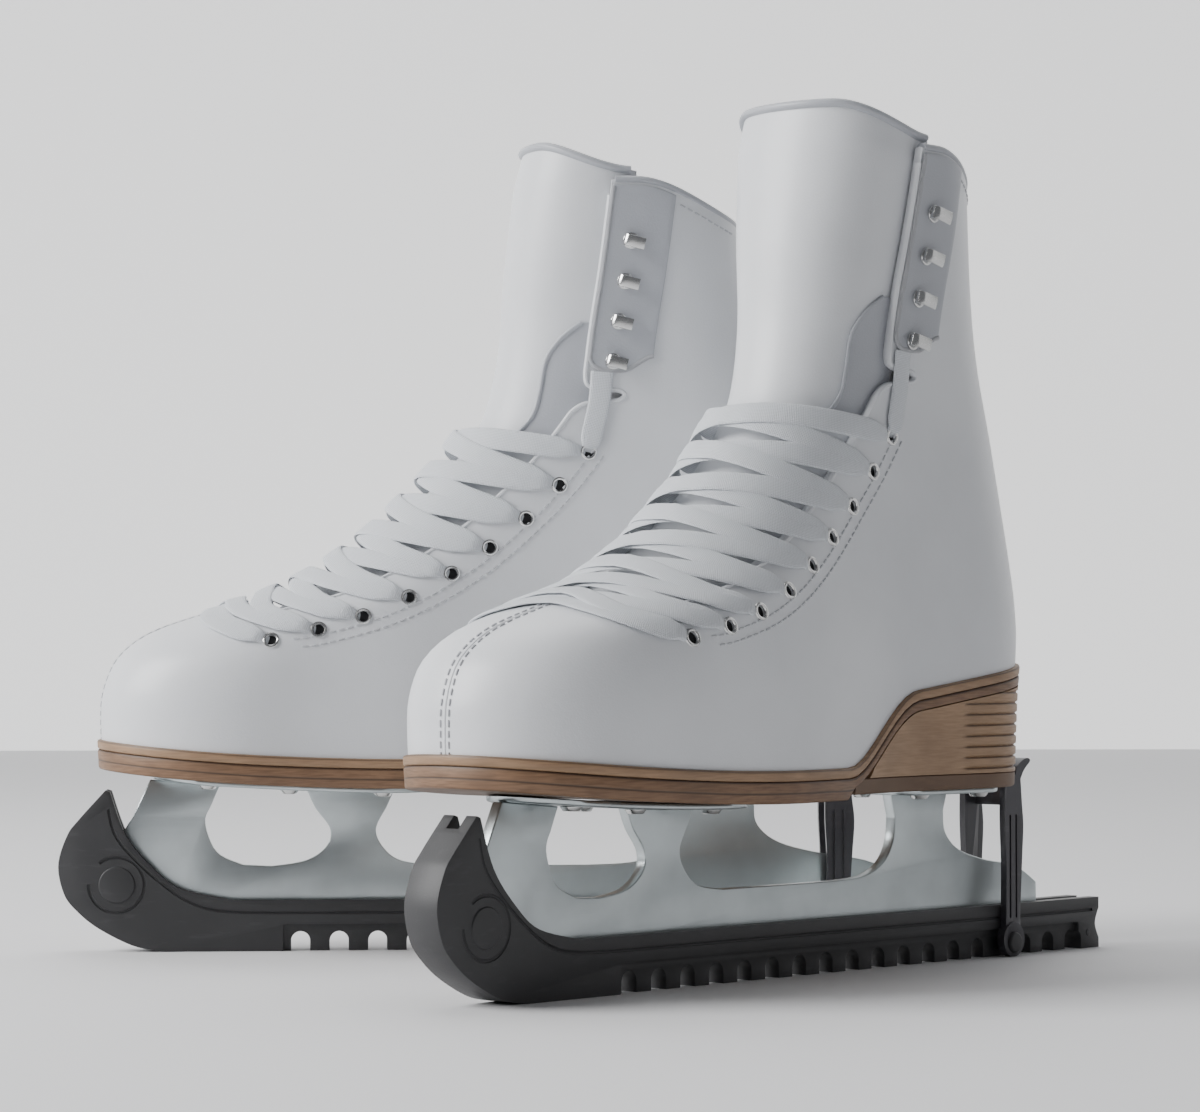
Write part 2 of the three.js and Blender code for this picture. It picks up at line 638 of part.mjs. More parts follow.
function strap() {
  const legs = [1, -1].map((side) => {
    const from = side > 0 ? STRAP_INNER : -STRAP_OUTER;
    const leg = rounded(
      PIN_X - STRAP_LEG_HALF, PIN_Z - 2, PIN_X + STRAP_LEG_HALF, STRAP_TOP_Z, 2,
    );
    const disc = new THREE.Shape();
    disc.absarc(PIN_X, PIN_Z + 1.6, DISC_RADIUS - 0.2, 0, 2 * Math.PI);
    return slab(leg, from, from + STRAP_WALL).add(slab(disc, from, from + STRAP_WALL, 10));
  });
  const back = PIN_X - STRAP_LEG_HALF;
  const web = block(back, -STRAP_OUTER, STRAP_TOP_Z - 11, back + 2.4, STRAP_OUTER, STRAP_TOP_Z);
  const lip = [
    [back + 2.2, STRAP_TOP_Z - 3], [back + 2.2, STRAP_TOP_Z + 1], [back - 4, STRAP_TOP_Z + 5],
    [back - 6, STRAP_TOP_Z + 4], [back, STRAP_TOP_Z - 2],
  ];
  const tab = slab(outline(lip), -STRAP_OUTER, STRAP_OUTER);
  const bore = rod(vec(PIN_X, -20, PIN_Z), vec(PIN_X, 20, PIN_Z), PIN_RADIUS + GAP, 16);
  return joined([...legs, web, tab]).subtract(bore);
}

function strapPin() {
  const from = vec(PIN_X, -STRAP_OUTER - GAP - 1.4, PIN_Z);
  const to = vec(PIN_X, STRAP_OUTER + GAP + 1.4, PIN_Z);
  const head = (end, side) => rod(end, end.clone().add(vec(0, -1.4 * side, 0)), 3.8, 14);
  return joined([rod(from, to, PIN_RADIUS, 16), head(from, -1), head(to, 1)]);
}

// ---------------------------------------------------------------- the two skates
function skatePieces() {
  const heelBored = (piece) => bored(piece, HEEL_SCREWS);
  const pieces = [
    ["boot_upper", bootUpper(), WHITE_LEATHER],
    ["collar_lining", lining(), GREY_LINING],
    ["footbed", footbed(), FOAM],
    ["tongue_base", tongueBase(), TONGUE_LEATHER],
    ["tongue_flap", tongueFlap(), TONGUE_LEATHER],
    ["lace", lace(), LACE_FABRIC],
    ["hook_strip_outer", hookStrip(1), GREY_LEATHER],
    ["hook_strip_inner", hookStrip(-1), GREY_LEATHER],
    ["welt", welt(), TAN_EDGE],
    ["outsole", bored(outsole(), FRONT_SCREWS), BROWN_SOLE],
    ["heel_stack", heelBored(heelStack()), BROWN_HEEL],
    ["heel_lift", heelBored(heelLift()), DARK_RUBBER],
    ["blade", blade(), BLADE_STEEL],
    ["front_plate", frontPlate(), BRIGHT_METAL],
    ["heel_plate", heelPlate(), BRIGHT_METAL],
    ["guard", guard(), GUARD_PLASTIC],
    ["strap", strap(), STRAP_PLASTIC],
    ["strap_pin", strapPin(), STRAP_PLASTIC],
  ];
  for (let i = 0; i < HOOKS; i += 1) {
    pieces.push([`hook_outer_${i + 1}`, hook(i, 1), BRIGHT_METAL]);
    pieces.push([`hook_inner_${i + 1}`, hook(i, -1), BRIGHT_METAL]);
  }
  FRONT_SCREWS.forEach(([x, y], i) => {
    pieces.push([`front_screw_${i + 1}`, screw(x, y, frontPlateZ(x)), BRIGHT_METAL]);
  });
  HEEL_SCREWS.forEach(([x, y], i) => {
    pieces.push([`heel_screw_${i + 1}`, screw(x, y, HEEL_PLATE_Z), BRIGHT_METAL]);
  });
  return pieces;
}

// Stands a copy of the pieces at a skate's place; side is 1 for the left skate, -1 for the right.
function skate(pieces, side) {
  const group = new THREE.Group();
  group.name = side > 0 ? "left_skate" : "right_skate";
  group.position.set(side * STANCE_HALF, side * STANCE_STEP, 0);
  group.rotation.z = -Math.PI / 2 + side * TOE_OUT;
  group.scale.y = side;
  for (const [name, made, look] of pieces) {
    const mesh = new THREE.Mesh(geometryOf(made), new THREE.MeshStandardMaterial(look));
    mesh.name = `${side > 0 ? "left" : "right"}_${name}`;
    group.add(mesh);
  }
  return group;
}

const pair = new THREE.Group();
pair.name = "figure_skates";
const pieces = skatePieces();
pair.add(skate(pieces, 1), skate(pieces, -1));

// Centre the pair over the origin.
const middle = new THREE.Box3().setFromObject(pair).getCenter(vec(0, 0, 0));
for (const one of pair.children) {
  one.position.x -= middle.x;
  one.position.y -= middle.y;
}

export default pair;
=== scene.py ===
"""A pair of white figure skates, each standing in a toothed plastic blade guard.

Each skate is modelled once in its own frame, in millimetres: x runs towards the toe, y to the
outer side of the foot and z up from the floor. The left skate is placed as modelled and the
right one is its mirror image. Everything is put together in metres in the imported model's frame.
"""

import json
import logging
import math
from dataclasses import dataclass, field
from enum import Enum
from typing import Callable

import bpy
import numpy as np
from mathutils import Matrix, Vector


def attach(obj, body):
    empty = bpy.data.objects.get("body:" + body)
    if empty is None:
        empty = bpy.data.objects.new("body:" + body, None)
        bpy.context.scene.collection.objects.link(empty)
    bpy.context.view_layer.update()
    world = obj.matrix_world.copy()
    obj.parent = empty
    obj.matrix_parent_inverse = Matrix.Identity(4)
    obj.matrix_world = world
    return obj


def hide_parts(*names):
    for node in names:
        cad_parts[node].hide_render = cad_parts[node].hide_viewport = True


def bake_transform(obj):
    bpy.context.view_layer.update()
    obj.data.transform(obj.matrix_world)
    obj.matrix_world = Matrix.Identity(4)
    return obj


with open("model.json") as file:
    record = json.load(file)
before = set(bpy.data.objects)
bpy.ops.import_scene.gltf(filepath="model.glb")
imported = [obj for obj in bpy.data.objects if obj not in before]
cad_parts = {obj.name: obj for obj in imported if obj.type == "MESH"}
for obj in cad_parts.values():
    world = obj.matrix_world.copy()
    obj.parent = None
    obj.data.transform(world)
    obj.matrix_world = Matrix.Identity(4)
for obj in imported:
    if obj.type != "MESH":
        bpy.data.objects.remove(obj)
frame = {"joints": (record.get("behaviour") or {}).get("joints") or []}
log = logging.getLogger("skates")
MM = 0.001
Points = list[tuple[float, float]]
Colour = tuple[float, float, float]


class Body(Enum):
    """The bodies that a piece can move with."""

    SKATES = "skates"
    STRAP = "strap"
    TONGUE = "tongue"


class Side(Enum):
    """Which foot a skate is for; the value mirrors the modelled skate."""

    LEFT = 1
    RIGHT = -1

    @property
    def word(self) -> str:
        """The side's name, as it begins the names of the skate's pieces."""
        return self.name.lower()


# ------------------------------------------------------------------ curves and the boot's form
def smooth(start: float, end: float, value: np.ndarray) -> np.ndarray:
    """Rises from 0 to 1, with level ends, as value goes from start to end."""
    t = np.clip((np.asarray(value, float) - start) / (end - start), 0, 1)
    return t * t * (3 - 2 * t)


def mix(low: np.ndarray, high: np.ndarray, t: np.ndarray) -> np.ndarray:
    """The value that lies t of the way from low to high."""
    return low + (high - low) * t


@dataclass(frozen=True)
class Graph:
    """A smooth function through points.

    Args:
        points: Positions and the values there, in order.
        scale: A factor on the values.
    """

    points: Points
    scale: float = 1.0

    def __call__(self, at: np.ndarray) -> np.ndarray:
        """The function's value at one or many positions.

        Args:
            at: The positions.

        Returns:
            The values there.
        """
        knots = np.array([p[0] for p in self.points], float)
        values = np.array([p[1] for p in self.points], float) * self.scale
        before = np.maximum(np.arange(len(knots)) - 1, 0)
        after = np.minimum(np.arange(len(knots)) + 1, len(knots) - 1)
        slope = (values[after] - values[before]) / (knots[after] - knots[before])
        x = np.clip(np.asarray(at, float), knots[0], knots[-1])
        i = np.clip(np.searchsorted(knots, x, side="right") - 1, 0, len(knots) - 2)
        step = knots[i + 1] - knots[i]
        t = (x - knots[i]) / step
        rise = mix(values[i], values[i + 1], t * t * (3 - 2 * t))
        leaving = t * (1 - t) ** 2 * step * slope[i]
        arriving = t * t * (t - 1) * step * slope[i + 1]
        return rise + leaving + arriving


def spline(points: Points, steps: int) -> Points:
    """Points along a smooth curve through the given ones.

    Args:
        points: The points that the curve passes through.
        steps: How many straight steps to return it in.

    Returns:
        steps + 1 points.
    """
    held = np.array([points[0], *points, points[-1]], float)
    made = []
    for k in range(steps + 1):
        along = k / steps * (len(points) - 1)
        i = min(int(along), len(points) - 2)
        t = along - i
        a, b, c, d = held[i : i + 4]
        cubic = 3 * b - a - 3 * c + d
        square = 2 * a - 5 * b + 4 * c - d
        made.append(tuple(0.5 * (2 * b + (c - a) * t + square * t * t + cubic * t**3)))
    return made


@dataclass(frozen=True)
class BootForm:
    """The boot's outer shape, as smooth functions of the place seen from the side."""

    toe_x: float = 148
    heel_x: float = -99
    feather_z: float = 67
    toe_spring: float = 6
    ball_x: float = 40
    heel_rise: float = 24
    rise_from: float = 14
    rise_to: float = -30
    heel_slope: float = 0.13
    sole_thick: float = 10
    cuff_z: float = 264
    cuff_back_z: float = 251
    roundness: float = 2.2

    def feather(self, x: np.ndarray) -> np.ndarray:
        """Height of the edge where the upper meets the sole."""
        ahead = np.maximum(np.asarray(x, float) - self.ball_x, 0) / (self.toe_x - self.ball_x)
        climb = self.heel_rise * smooth(-self.rise_from, -self.rise_to, -np.asarray(x, float))
        slope = self.heel_slope * np.maximum(self.rise_to - np.asarray(x, float), 0)
        return self.feather_z + self.toe_spring * ahead**2 + climb + slope

    def sole(self, x: np.ndarray) -> np.ndarray:
        """Height of the sole's underside in front of the heel."""
        ahead = np.maximum(np.asarray(x, float) - self.ball_x, 0) / (self.toe_x - self.ball_x)
        return self.feather_z - self.sole_thick + self.toe_spring * ahead**2

    def cuff(self, x: np.ndarray) -> np.ndarray:
        """Height of the cuff's top edge."""
        return mix(self.cuff_back_z, self.cuff_z, smooth(-76, -34, x))

    def back(self, z: np.ndarray, inset: float = 0) -> np.ndarray:
        """The back of the boot at a height.

        Args:
            z: The height.
            inset: How far inside the outer surface.

        Returns:
            The back's x there.
        """
        h = self.heel_x
        shape = Graph([
            (50, h + 1), (84, h), (110, h - 1.5), (140, h + 2), (170, h + 9), (200, h + 18),
            (230, h + 24), (285, h + 32),
        ])
        return shape(z) + inset

    def front(self, z: np.ndarray, inset: float = 0) -> np.ndarray:
        """The front of the boot, tongue included, at a height.

        Args:
            z: The height.
            inset: How far inside the outer surface.

        Returns:
            The front's x there.
        """
        t = self.toe_x
        shape = Graph([
            (50, t - 1), (84, t + 0.5), (95, t - 2), (103, t - 7), (110, t - 17), (116, t - 34),
            (122, t - 54), (134, t - 77), (155, t - 102), (181, t - 124), (202, t - 132),
            (236, t - 135), (285, t - 141),
        ])
        lower = (1 - smooth(180, 205, z)) * smooth(90, 105, z)
        return shape(np.asarray(z, float) + inset * lower) - inset

    def half_width(self, x: np.ndarray, z: np.ndarray, inset: float = 0) -> np.ndarray:
        """Half the boot's width at a place, for a surface that lies deeper by inset.

        Args:
            x: The place along the boot.
            z: The height.
            inset: How far inside the outer surface.

        Returns:
            The half width there.
        """
        heel = Graph([
            (50, 29), (90, 30.5), (115, 31), (150, 28.5), (190, 28), (215, 29.5), (250, 33.5),
            (285, 37),
        ])
        ball = Graph([
            (50, 41), (84, 43), (100, 42.5), (120, 38), (150, 31), (190, 28), (215, 29.5),
            (250, 33.5), (285, 37),
        ])
        fore_length = Graph([
            (50, 56), (84, 58), (110, 60), (125, 56), (160, 46), (195, 36), (285, 36),
        ])
        aft_length = Graph([(50, 34), (115, 36), (150, 36), (200, 34), (285, 38)])
        fore = self.front(z, inset) - x
        aft = x - self.back(z, inset)
        width = mix(heel(z), ball(z), smooth(-30, 55, x)) - inset
        return (
            width
            * self._round(fore / (fore_length(z) - inset))
            * self._round(aft / (aft_length(z) - inset))
        )

    def _round(self, d: np.ndarray) -> np.ndarray:
        """A rounded end: 0 at its tip and 1 from its full width on."""
        flat = 1 - (1 - np.clip(d, 0, 1)) ** self.roundness
        return flat ** (1 / self.roundness)

    def above(self, rise: float) -> Callable[[np.ndarray], np.ndarray]:
        """A surface that runs this far above the upper's lower edge."""
        return lambda x: self.feather(x) + rise

    def middle(self, x: np.ndarray, z: np.ndarray) -> np.ndarray:
        """Sideways place of the boot's middle: the toe leans towards the other foot."""
        return -5 * smooth(50, self.toe_x, x) * (1 - smooth(95, 125, z))

    def skin(self, x: float, z: float, side: int, inset: float = 0) -> Vector:
        """A point of the surface, on the outer side of the foot for 1, the inner for -1."""
        y = self.middle(x, z) + side * self.half_width(x, z, inset)
        return Vector((float(x), float(y), float(z)))

    def outward(self, x: float, z: float, side: int) -> Vector:
        """The surface's outward direction there."""
        d = 0.4
        fore = self.skin(x + d, z, side) - self.skin(x - d, z, side)
        upward = self.skin(x, z + d, side) - self.skin(x, z - d, side)
        return upward.cross(fore).normalized() * side

    def ends(self, height: Callable, inset: float) -> tuple[float, float]:
        """Where a surface that follows a height function meets the boot's back and front.

        Args:
            height: Gives the surface's height at each x.
            inset: How far inside the outer surface.

        Returns:
            The back's x and the front's.
        """
        found = []
        for low, high, gap in (
            (-140.0, 0.0, lambda x: x - float(self.back(height(x), inset))),
            (-40.0, 175.0, lambda x: x - float(self.front(height(x), inset))),
        ):
            for _ in range(34):
                half = (low + high) / 2
                if gap(half) < 0:
                    low = half
                else:
                    high = half
            found.append((low + high) / 2)
        return found[0], found[1]

    def ring(self, height: Callable, inset: float, steps: int) -> np.ndarray:
        """A closed loop of points round the boot.

        Args:
            height: Gives the loop's height at each x.
            inset: How far inside the outer surface the loop lies.
            steps: Steps from the back to the front on each side.

        Returns:
            2 * steps + 1 points, the last on top of the first.
        """
        x0, x1 = self.ends(height, inset)
        t = (1 - np.cos(np.linspace(0, math.pi, steps + 1))) / 2
        x = mix(x0, x1, t)
        z = np.asarray(height(x), float) * np.ones_like(x)
        half = self.half_width(x, z, inset)
        half[0] = half[-1] = 0
        mid = self.middle(x, z)
        outer = np.stack([x, mid + half, z], 1)
        inner = np.stack([x, mid - half, z], 1)[::-1]
        return np.concatenate([outer, inner[1:]])


@dataclass(frozen=True)
class Throat:
    """The boot's lacing: its eyelets and the edges of its facings, seen from the side."""

    eyelets: tuple = (
        (90, 107), (74, 110.5), (59, 115), (43.5, 121.5), (29, 129.5), (16, 138.5), (3.5, 148.5),
        (-8, 160), (-18, 171.5),
    )
    facing: tuple = (
        (101, 121), (93, 116.5), (77, 119.5), (62.5, 124), (48, 130.5), (34.5, 138.5),
        (22.5, 147.5), (11, 158), (0, 169.5), (-9, 181),
    )
    flap: tuple = ((-17, 199), (-19, 215), (-22, 235), (-26, 268))

    def edge(self, steps: int = 60) -> Points:
        """The lower facing's edge."""
        return spline(list(self.facing), steps)

    def flap_x(self, z: np.ndarray) -> np.ndarray:
        """The front edge of the hook flap at a height."""
        return Graph(list((z, x) for x, z in self.flap))(z)

    def corner(self) -> Points:
        """The rounded notch between the lower facing and the hook flap."""
        return spline([
            (-9, 181), (-12.5, 185.5), (-17, 188), (-24, 188.6), (-29, 189.6), (-30.5, 191.3),
            (-28, 192.8), (-21, 193.3), (-17.5, 195), (-17, 199),
        ], 40)

    def outline(self, lap: float = 0) -> Points:
        """The region in front of the facings, pushed back and down under them by lap.

        Args:
            lap: How far it is pushed under the facings.

        Returns:
            The region's corners, in order.
        """
        lower = [(x - lap * 0.6, z - lap * 0.8) for x, z in self.edge()]
        corner = self.corner() if lap == 0 else []
        upper = [(float(self.flap_x(z)) - lap, z) for z in np.linspace(200, 268, 18)]
        low = 121 - lap * 0.8
        return [*lower, *corner, *upper, (upper[-1][0], 300), (190, 300), (190, low)]


# ------------------------------------------------------------------ modelling
class Bench:
    """Blender's modelling operators, wrapped so that each works on one piece at a time."""

    @staticmethod
    def clear() -> None:
        """Deselects everything."""
        if bpy.context.object and bpy.context.object.mode != "OBJECT":
            bpy.ops.object.mode_set(mode="OBJECT")
        bpy.ops.object.select_all(action="DESELECT")

    @classmethod
    def pick(cls, *objects: bpy.types.Object) -> None:
        """Selects these objects only, the last of them active."""
        cls.clear()
        for each in objects:
            each.select_set(True)
        bpy.context.view_layer.objects.active = objects[-1]

    @classmethod
    def named(cls, name: str) -> bpy.types.Object:
        """Names the object that an operator has just added."""
        made = bpy.context.object
        made.name = name
        made.data.name = name
        return made

    @classmethod
    def modify(cls, piece: bpy.types.Object, kind: str, **settings: object) -> None:
        """Adds a modifier with these settings and applies it.

        Args:
            piece: The piece.
            kind: The modifier's type.
            settings: Its properties.
        """
        cls.pick(piece)
        modifier = piece.modifiers.new(kind.lower(), kind)
        for key, value in settings.items():
            setattr(modifier, key, value)
        bpy.ops.object.modifier_apply(modifier=modifier.name)

    @classmethod
    def edit(cls, piece: bpy.types.Object, *steps: Callable[[], object]) -> None:
        """Runs edit-mode operators with everything selected.

        Args:
            piece: The piece.
            steps: What is run, in order.
        """
        cls.pick(piece)
        bpy.ops.object.mode_set(mode="EDIT")
        bpy.ops.mesh.select_all(action="SELECT")
        for step in steps:
            step()
        bpy.ops.object.mode_set(mode="OBJECT")

    @classmethod
    def tidy(cls, piece: bpy.types.Object, angle: float = 40) -> None:
        """Merges doubles, turns faces outwards and smooths up to an angle in degrees.

        Args:
            piece: The piece.
            angle: The sharpest smoothed angle, in degrees.
        """
        cls.edit(
            piece,
            lambda: bpy.ops.mesh.remove_doubles(threshold=0.002),
            lambda: bpy.ops.mesh.normals_make_consistent(inside=False),
        )
        cls.smooth(piece, angle)

    @classmethod
    def smooth(cls, piece: bpy.types.Object, angle: float = 40) -> None:
        """Shades smooth where faces meet at less than an angle in degrees."""
        cls.pick(piece)
        bpy.ops.object.shade_smooth_by_angle(angle=math.radians(angle))

    @classmethod
    def sheet(cls, name: str, points: np.ndarray) -> bpy.types.Object:
        """A grid whose vertices are laid on rows of points.

        Args:
            name: The piece's name.
            points: An array of rows by columns by 3.

        Returns:
            The open sheet; a row that ends where it starts is not yet merged.
        """
        rows, columns = points.shape[:2]
        cls.clear()
        bpy.ops.mesh.primitive_grid_add(x_subdivisions=columns - 1, y_subdivisions=rows - 1, size=1)
        made = cls.named(name)
        made.data.vertices.foreach_set("co", points.reshape(-1).astype(np.float32))
        made.data.update()
        return made

    @classmethod
    def lofted(cls, name: str, loops: list[np.ndarray], angle: float = 40) -> bpy.types.Object:
        """A closed solid through closed loops of equal length, its two ends filled.

        Args:
            name: The piece's name.
            loops: The loops, in order.
            angle: The sharpest smoothed angle, in degrees.

        Returns:
            The solid.
        """
        piece = cls.sheet(name, np.stack(loops))
        cls.edit(
            piece,
            lambda: bpy.ops.mesh.remove_doubles(threshold=0.002),
            lambda: bpy.ops.mesh.select_all(action="DESELECT"),
            lambda: bpy.ops.mesh.select_non_manifold(extend=False),
            lambda: bpy.ops.mesh.edge_face_add(),
        )
        cls.seal(piece)
        cls.tidy(piece, angle)
        return piece

    @classmethod
    def seal(cls, piece: bpy.types.Object) -> None:
        """Fills any hole that is left."""
        cls.edit(piece, lambda: bpy.ops.mesh.fill_holes(sides=0))

    @classmethod
    def profile(cls, name: str, points: Points, low: float, high: float) -> bpy.types.Object:
        """A side-view outline made into a slab between two sideways places.

        Args:
            name: The piece's name.
            points: The outline's x and z places.
            low: The first sideways place.
            high: The second.

        Returns:
            The slab.
        """
        cls.clear()
        bpy.ops.mesh.primitive_circle_add(vertices=len(points), radius=1, fill_type="NGON")
        made = cls.named(name)
        flat = [value for x, z in points for value in (x, low, z)]
        made.data.vertices.foreach_set("co", flat)
        made.data.update()
        cls.edit(
            made,
            lambda: bpy.ops.mesh.extrude_region_move(
                TRANSFORM_OT_translate={"value": (0, high - low, 0)}
            ),
            lambda: bpy.ops.mesh.select_all(action="SELECT"),
            lambda: bpy.ops.mesh.remove_doubles(threshold=0.002),
            lambda: bpy.ops.mesh.normals_make_consistent(inside=False),
        )
        return made

    @classmethod
    def cylinder(
        cls, name: str, start: Vector, end: Vector, radius: float, sides: int = 24, tip: float = -1
    ) -> bpy.types.Object:
        """A round bar from one point to another; tip is its radius at the end, if it differs.

        Args:
            name: The piece's name.
            start: Its first end's middle.
            end: Its other end's middle.
            radius: Its radius.
            sides: How many sides it has.
            tip: Its radius at the other end, or -1 for the same.

        Returns:
            The bar.
        """
        span = Vector(end) - Vector(start)
        turn = span.to_track_quat("Z", "Y").to_euler()
        cls.clear()
        bpy.ops.mesh.primitive_cone_add(
            vertices=sides,
            radius1=radius,
            radius2=radius if tip < 0 else tip,
            depth=span.length,
            location=(Vector(start) + Vector(end)) / 2,
            rotation=turn,
        )
        made = cls.named(name)
        cls.pick(made)
        bpy.ops.object.transform_apply(location=True, rotation=True, scale=True)
        return made

    @classmethod
    def cut(cls, piece: bpy.types.Object, *cutters: bpy.types.Object) -> None:
        """Cuts the cutters out of a piece and deletes them."""
        tool = cls.join("cutter", list(cutters))
        cls.modify(piece, "BOOLEAN", operation="DIFFERENCE", solver="EXACT", object=tool,
                   use_self=len(cutters) > 1)
        bpy.data.objects.remove(tool, do_unlink=True)

    @classmethod
    def join(cls, name: str, parts: list[bpy.types.Object]) -> bpy.types.Object:
        """Makes several objects one piece.

        Args:
            name: The piece's name.
            parts: What it is made of.

        Returns:
            The piece.
        """
        if len(parts) > 1:
            cls.pick(*parts)
            bpy.ops.object.join()
            parts = [bpy.context.object]
        parts[0].name = name
        parts[0].data.name = name
        return parts[0]

    @classmethod
    def copies(
        cls, name: str, model: bpy.types.Object, places: list[Matrix]
    ) -> bpy.types.Object:
        """A piece made of copies of a model, one at each place; the model is deleted.

        Args:
            name: The piece's name.
            model: What is copied.
            places: The place of each copy.

        Returns:
            The piece.
        """
        made = []
        for place in places:
            each = model.copy()
            each.data = model.data.copy()
            each.data.transform(place)
            bpy.context.collection.objects.link(each)
            made.append(each)
        bpy.data.objects.remove(model, do_unlink=True)
        return cls.join(name, made)

    @classmethod
    def swept(
        cls, name: str, path: list[Vector], ups: list[Vector], section: Points
    ) -> bpy.types.Object:
        """A closed bar with this cross-section along a path.

        Args:
            name: The piece's name.
            path: Points of the centre line.
            ups: The direction of the section's height at each point.
            section: The cross-section's points, across and up.

        Returns:
            The piece, with the distance along and across it stored as the attribute "weave".
        """
        loops, weave, gone = [], [], 0.0
        across_at = np.cumsum([0.0, *[
            math.dist(section[i], section[(i + 1) % len(section)]) for i in range(len(section))
        ]])
        for i, point in enumerate(path):
            ahead = path[min(i + 1, len(path) - 1)] - path[max(i - 1, 0)]
            if i:
                gone += (point - path[i - 1]).length
            side = ahead.cross(ups[i]).normalized()
            up = side.cross(ahead).normalized()
            ring = [point + side * a + up * b for a, b in section]
            loops.append(np.array([*ring, ring[0]]))
            weave.append([(gone, across_at[j], 0) for j in range(len(section) + 1)])
        piece = cls.sheet(name, np.stack(loops))
        mark = piece.data.attributes.new("weave", "FLOAT_VECTOR", "POINT")
        mark.data.foreach_set("vector", np.array(weave, np.float32).reshape(-1))
        cls.edit(
            piece,
            lambda: bpy.ops.mesh.remove_doubles(threshold=0.002),
            lambda: bpy.ops.mesh.fill_holes(sides=0),
            lambda: bpy.ops.mesh.normals_make_consistent(inside=False),
        )
        cls.smooth(piece, 50)
        return piece


def oval(width: float, height: float, sides: int = 10, squareness: float = 2.0) -> Points:
    """A rounded cross-section's points, of that half width and half height.

    Args:
        width: Half its width.
        height: Half its height.
        sides: How many points it has.
        squareness: 2 for an ellipse; more is squarer.

    Returns:
        The points, in order.
    """
    made = []
    for k in range(sides):
        turn = 2 * math.pi * k / sides
        c, s = math.cos(turn), math.sin(turn)
        made.append((
            width * math.copysign(abs(c) ** (2 / squareness), c),
            height * math.copysign(abs(s) ** (2 / squareness), s),
        ))
    return made


def box_outline(x0: float, z0: float, x1: float, z1: float, r: float, steps: int = 5) -> Points:
    """A rectangle with rounded corners.

    Args:
        x0: Its rear side.
        z0: Its lower side.
        x1: Its front side.
        z1: Its upper side.
        r: Its corners' radius.
        steps: Steps in each corner.

    Returns:
        The points, in order.
    """
    made = []
    for cx, cz, start in ((x1 - r, z0 + r, -90), (x1 - r, z1 - r, 0), (x0 + r, z1 - r, 90),
                          (x0 + r, z0 + r, 180)):
        for k in range(steps + 1):
            turn = math.radians(start + 90 * k / steps)
            made.append((cx + r * math.cos(turn), cz + r * math.sin(turn)))
    return made


def facing(place: Vector, outward: Vector, along: Vector) -> Matrix:
    """A place for something modelled with its base on z = 0 and its x along a direction.

    Args:
        place: Where its base lies.
        outward: Where its z points.
        along: Roughly where its x points.

    Returns:
        The matrix that puts it there.
    """
    out = outward.normalized()
    side = out.cross(along).normalized()
    ahead = side.cross(out)
    turn = Matrix((ahead, side, out)).transposed().to_4x4()
    return Matrix.Translation(place) @ turn


# ------------------------------------------------------------------ finishes
class Value:
    """A number in a material's nodes, for maths written as expressions."""

    def __init__(self, paint: "Paint", socket: object) -> None:
        """Wraps a node's output socket."""
        self.paint = paint
        self.socket = socket

    def _maths(self, operation: str, *terms: object) -> "Value":
        """A Math node's result."""
        return self.paint.maths(operation, *terms)

    def __add__(self, other: object) -> "Value":
        """self + other."""
        return self._maths("ADD", self, other)

    __radd__ = __add__

    def __sub__(self, other: object) -> "Value":
        """self - other."""
        return self._maths("SUBTRACT", self, other)

    def __rsub__(self, other: object) -> "Value":
        """other - self."""
        return self._maths("SUBTRACT", other, self)

    def __mul__(self, other: object) -> "Value":
        """self * other."""
        return self._maths("MULTIPLY", self, other)

    __rmul__ = __mul__

    def __truediv__(self, other: object) -> "Value":
        """self / other."""
        return self._maths("DIVIDE", self, other)

    def sin(self) -> "Value":
        """The sine."""
        return self._maths("SINE", self)

    def fold(self, size: float) -> "Value":
        """Goes up to size and down to 0 over and over."""
        return self._maths("PINGPONG", self, size)

    def within(self, low: float, high: float) -> "Value":
        """Goes from 0 at low to 1 at high.

        Args:
            low: Where it is 0.
            high: Where it is 1.

        Returns:
            The smoothed number.
        """
        settings = {"interpolation_type": "SMOOTHSTEP"}
        node = self.paint.node("ShaderNodeMapRange", settings, Value=self, **{
            "From Min": low, "From Max": high,
        })
        return Value(self.paint, node.outputs["Result"])


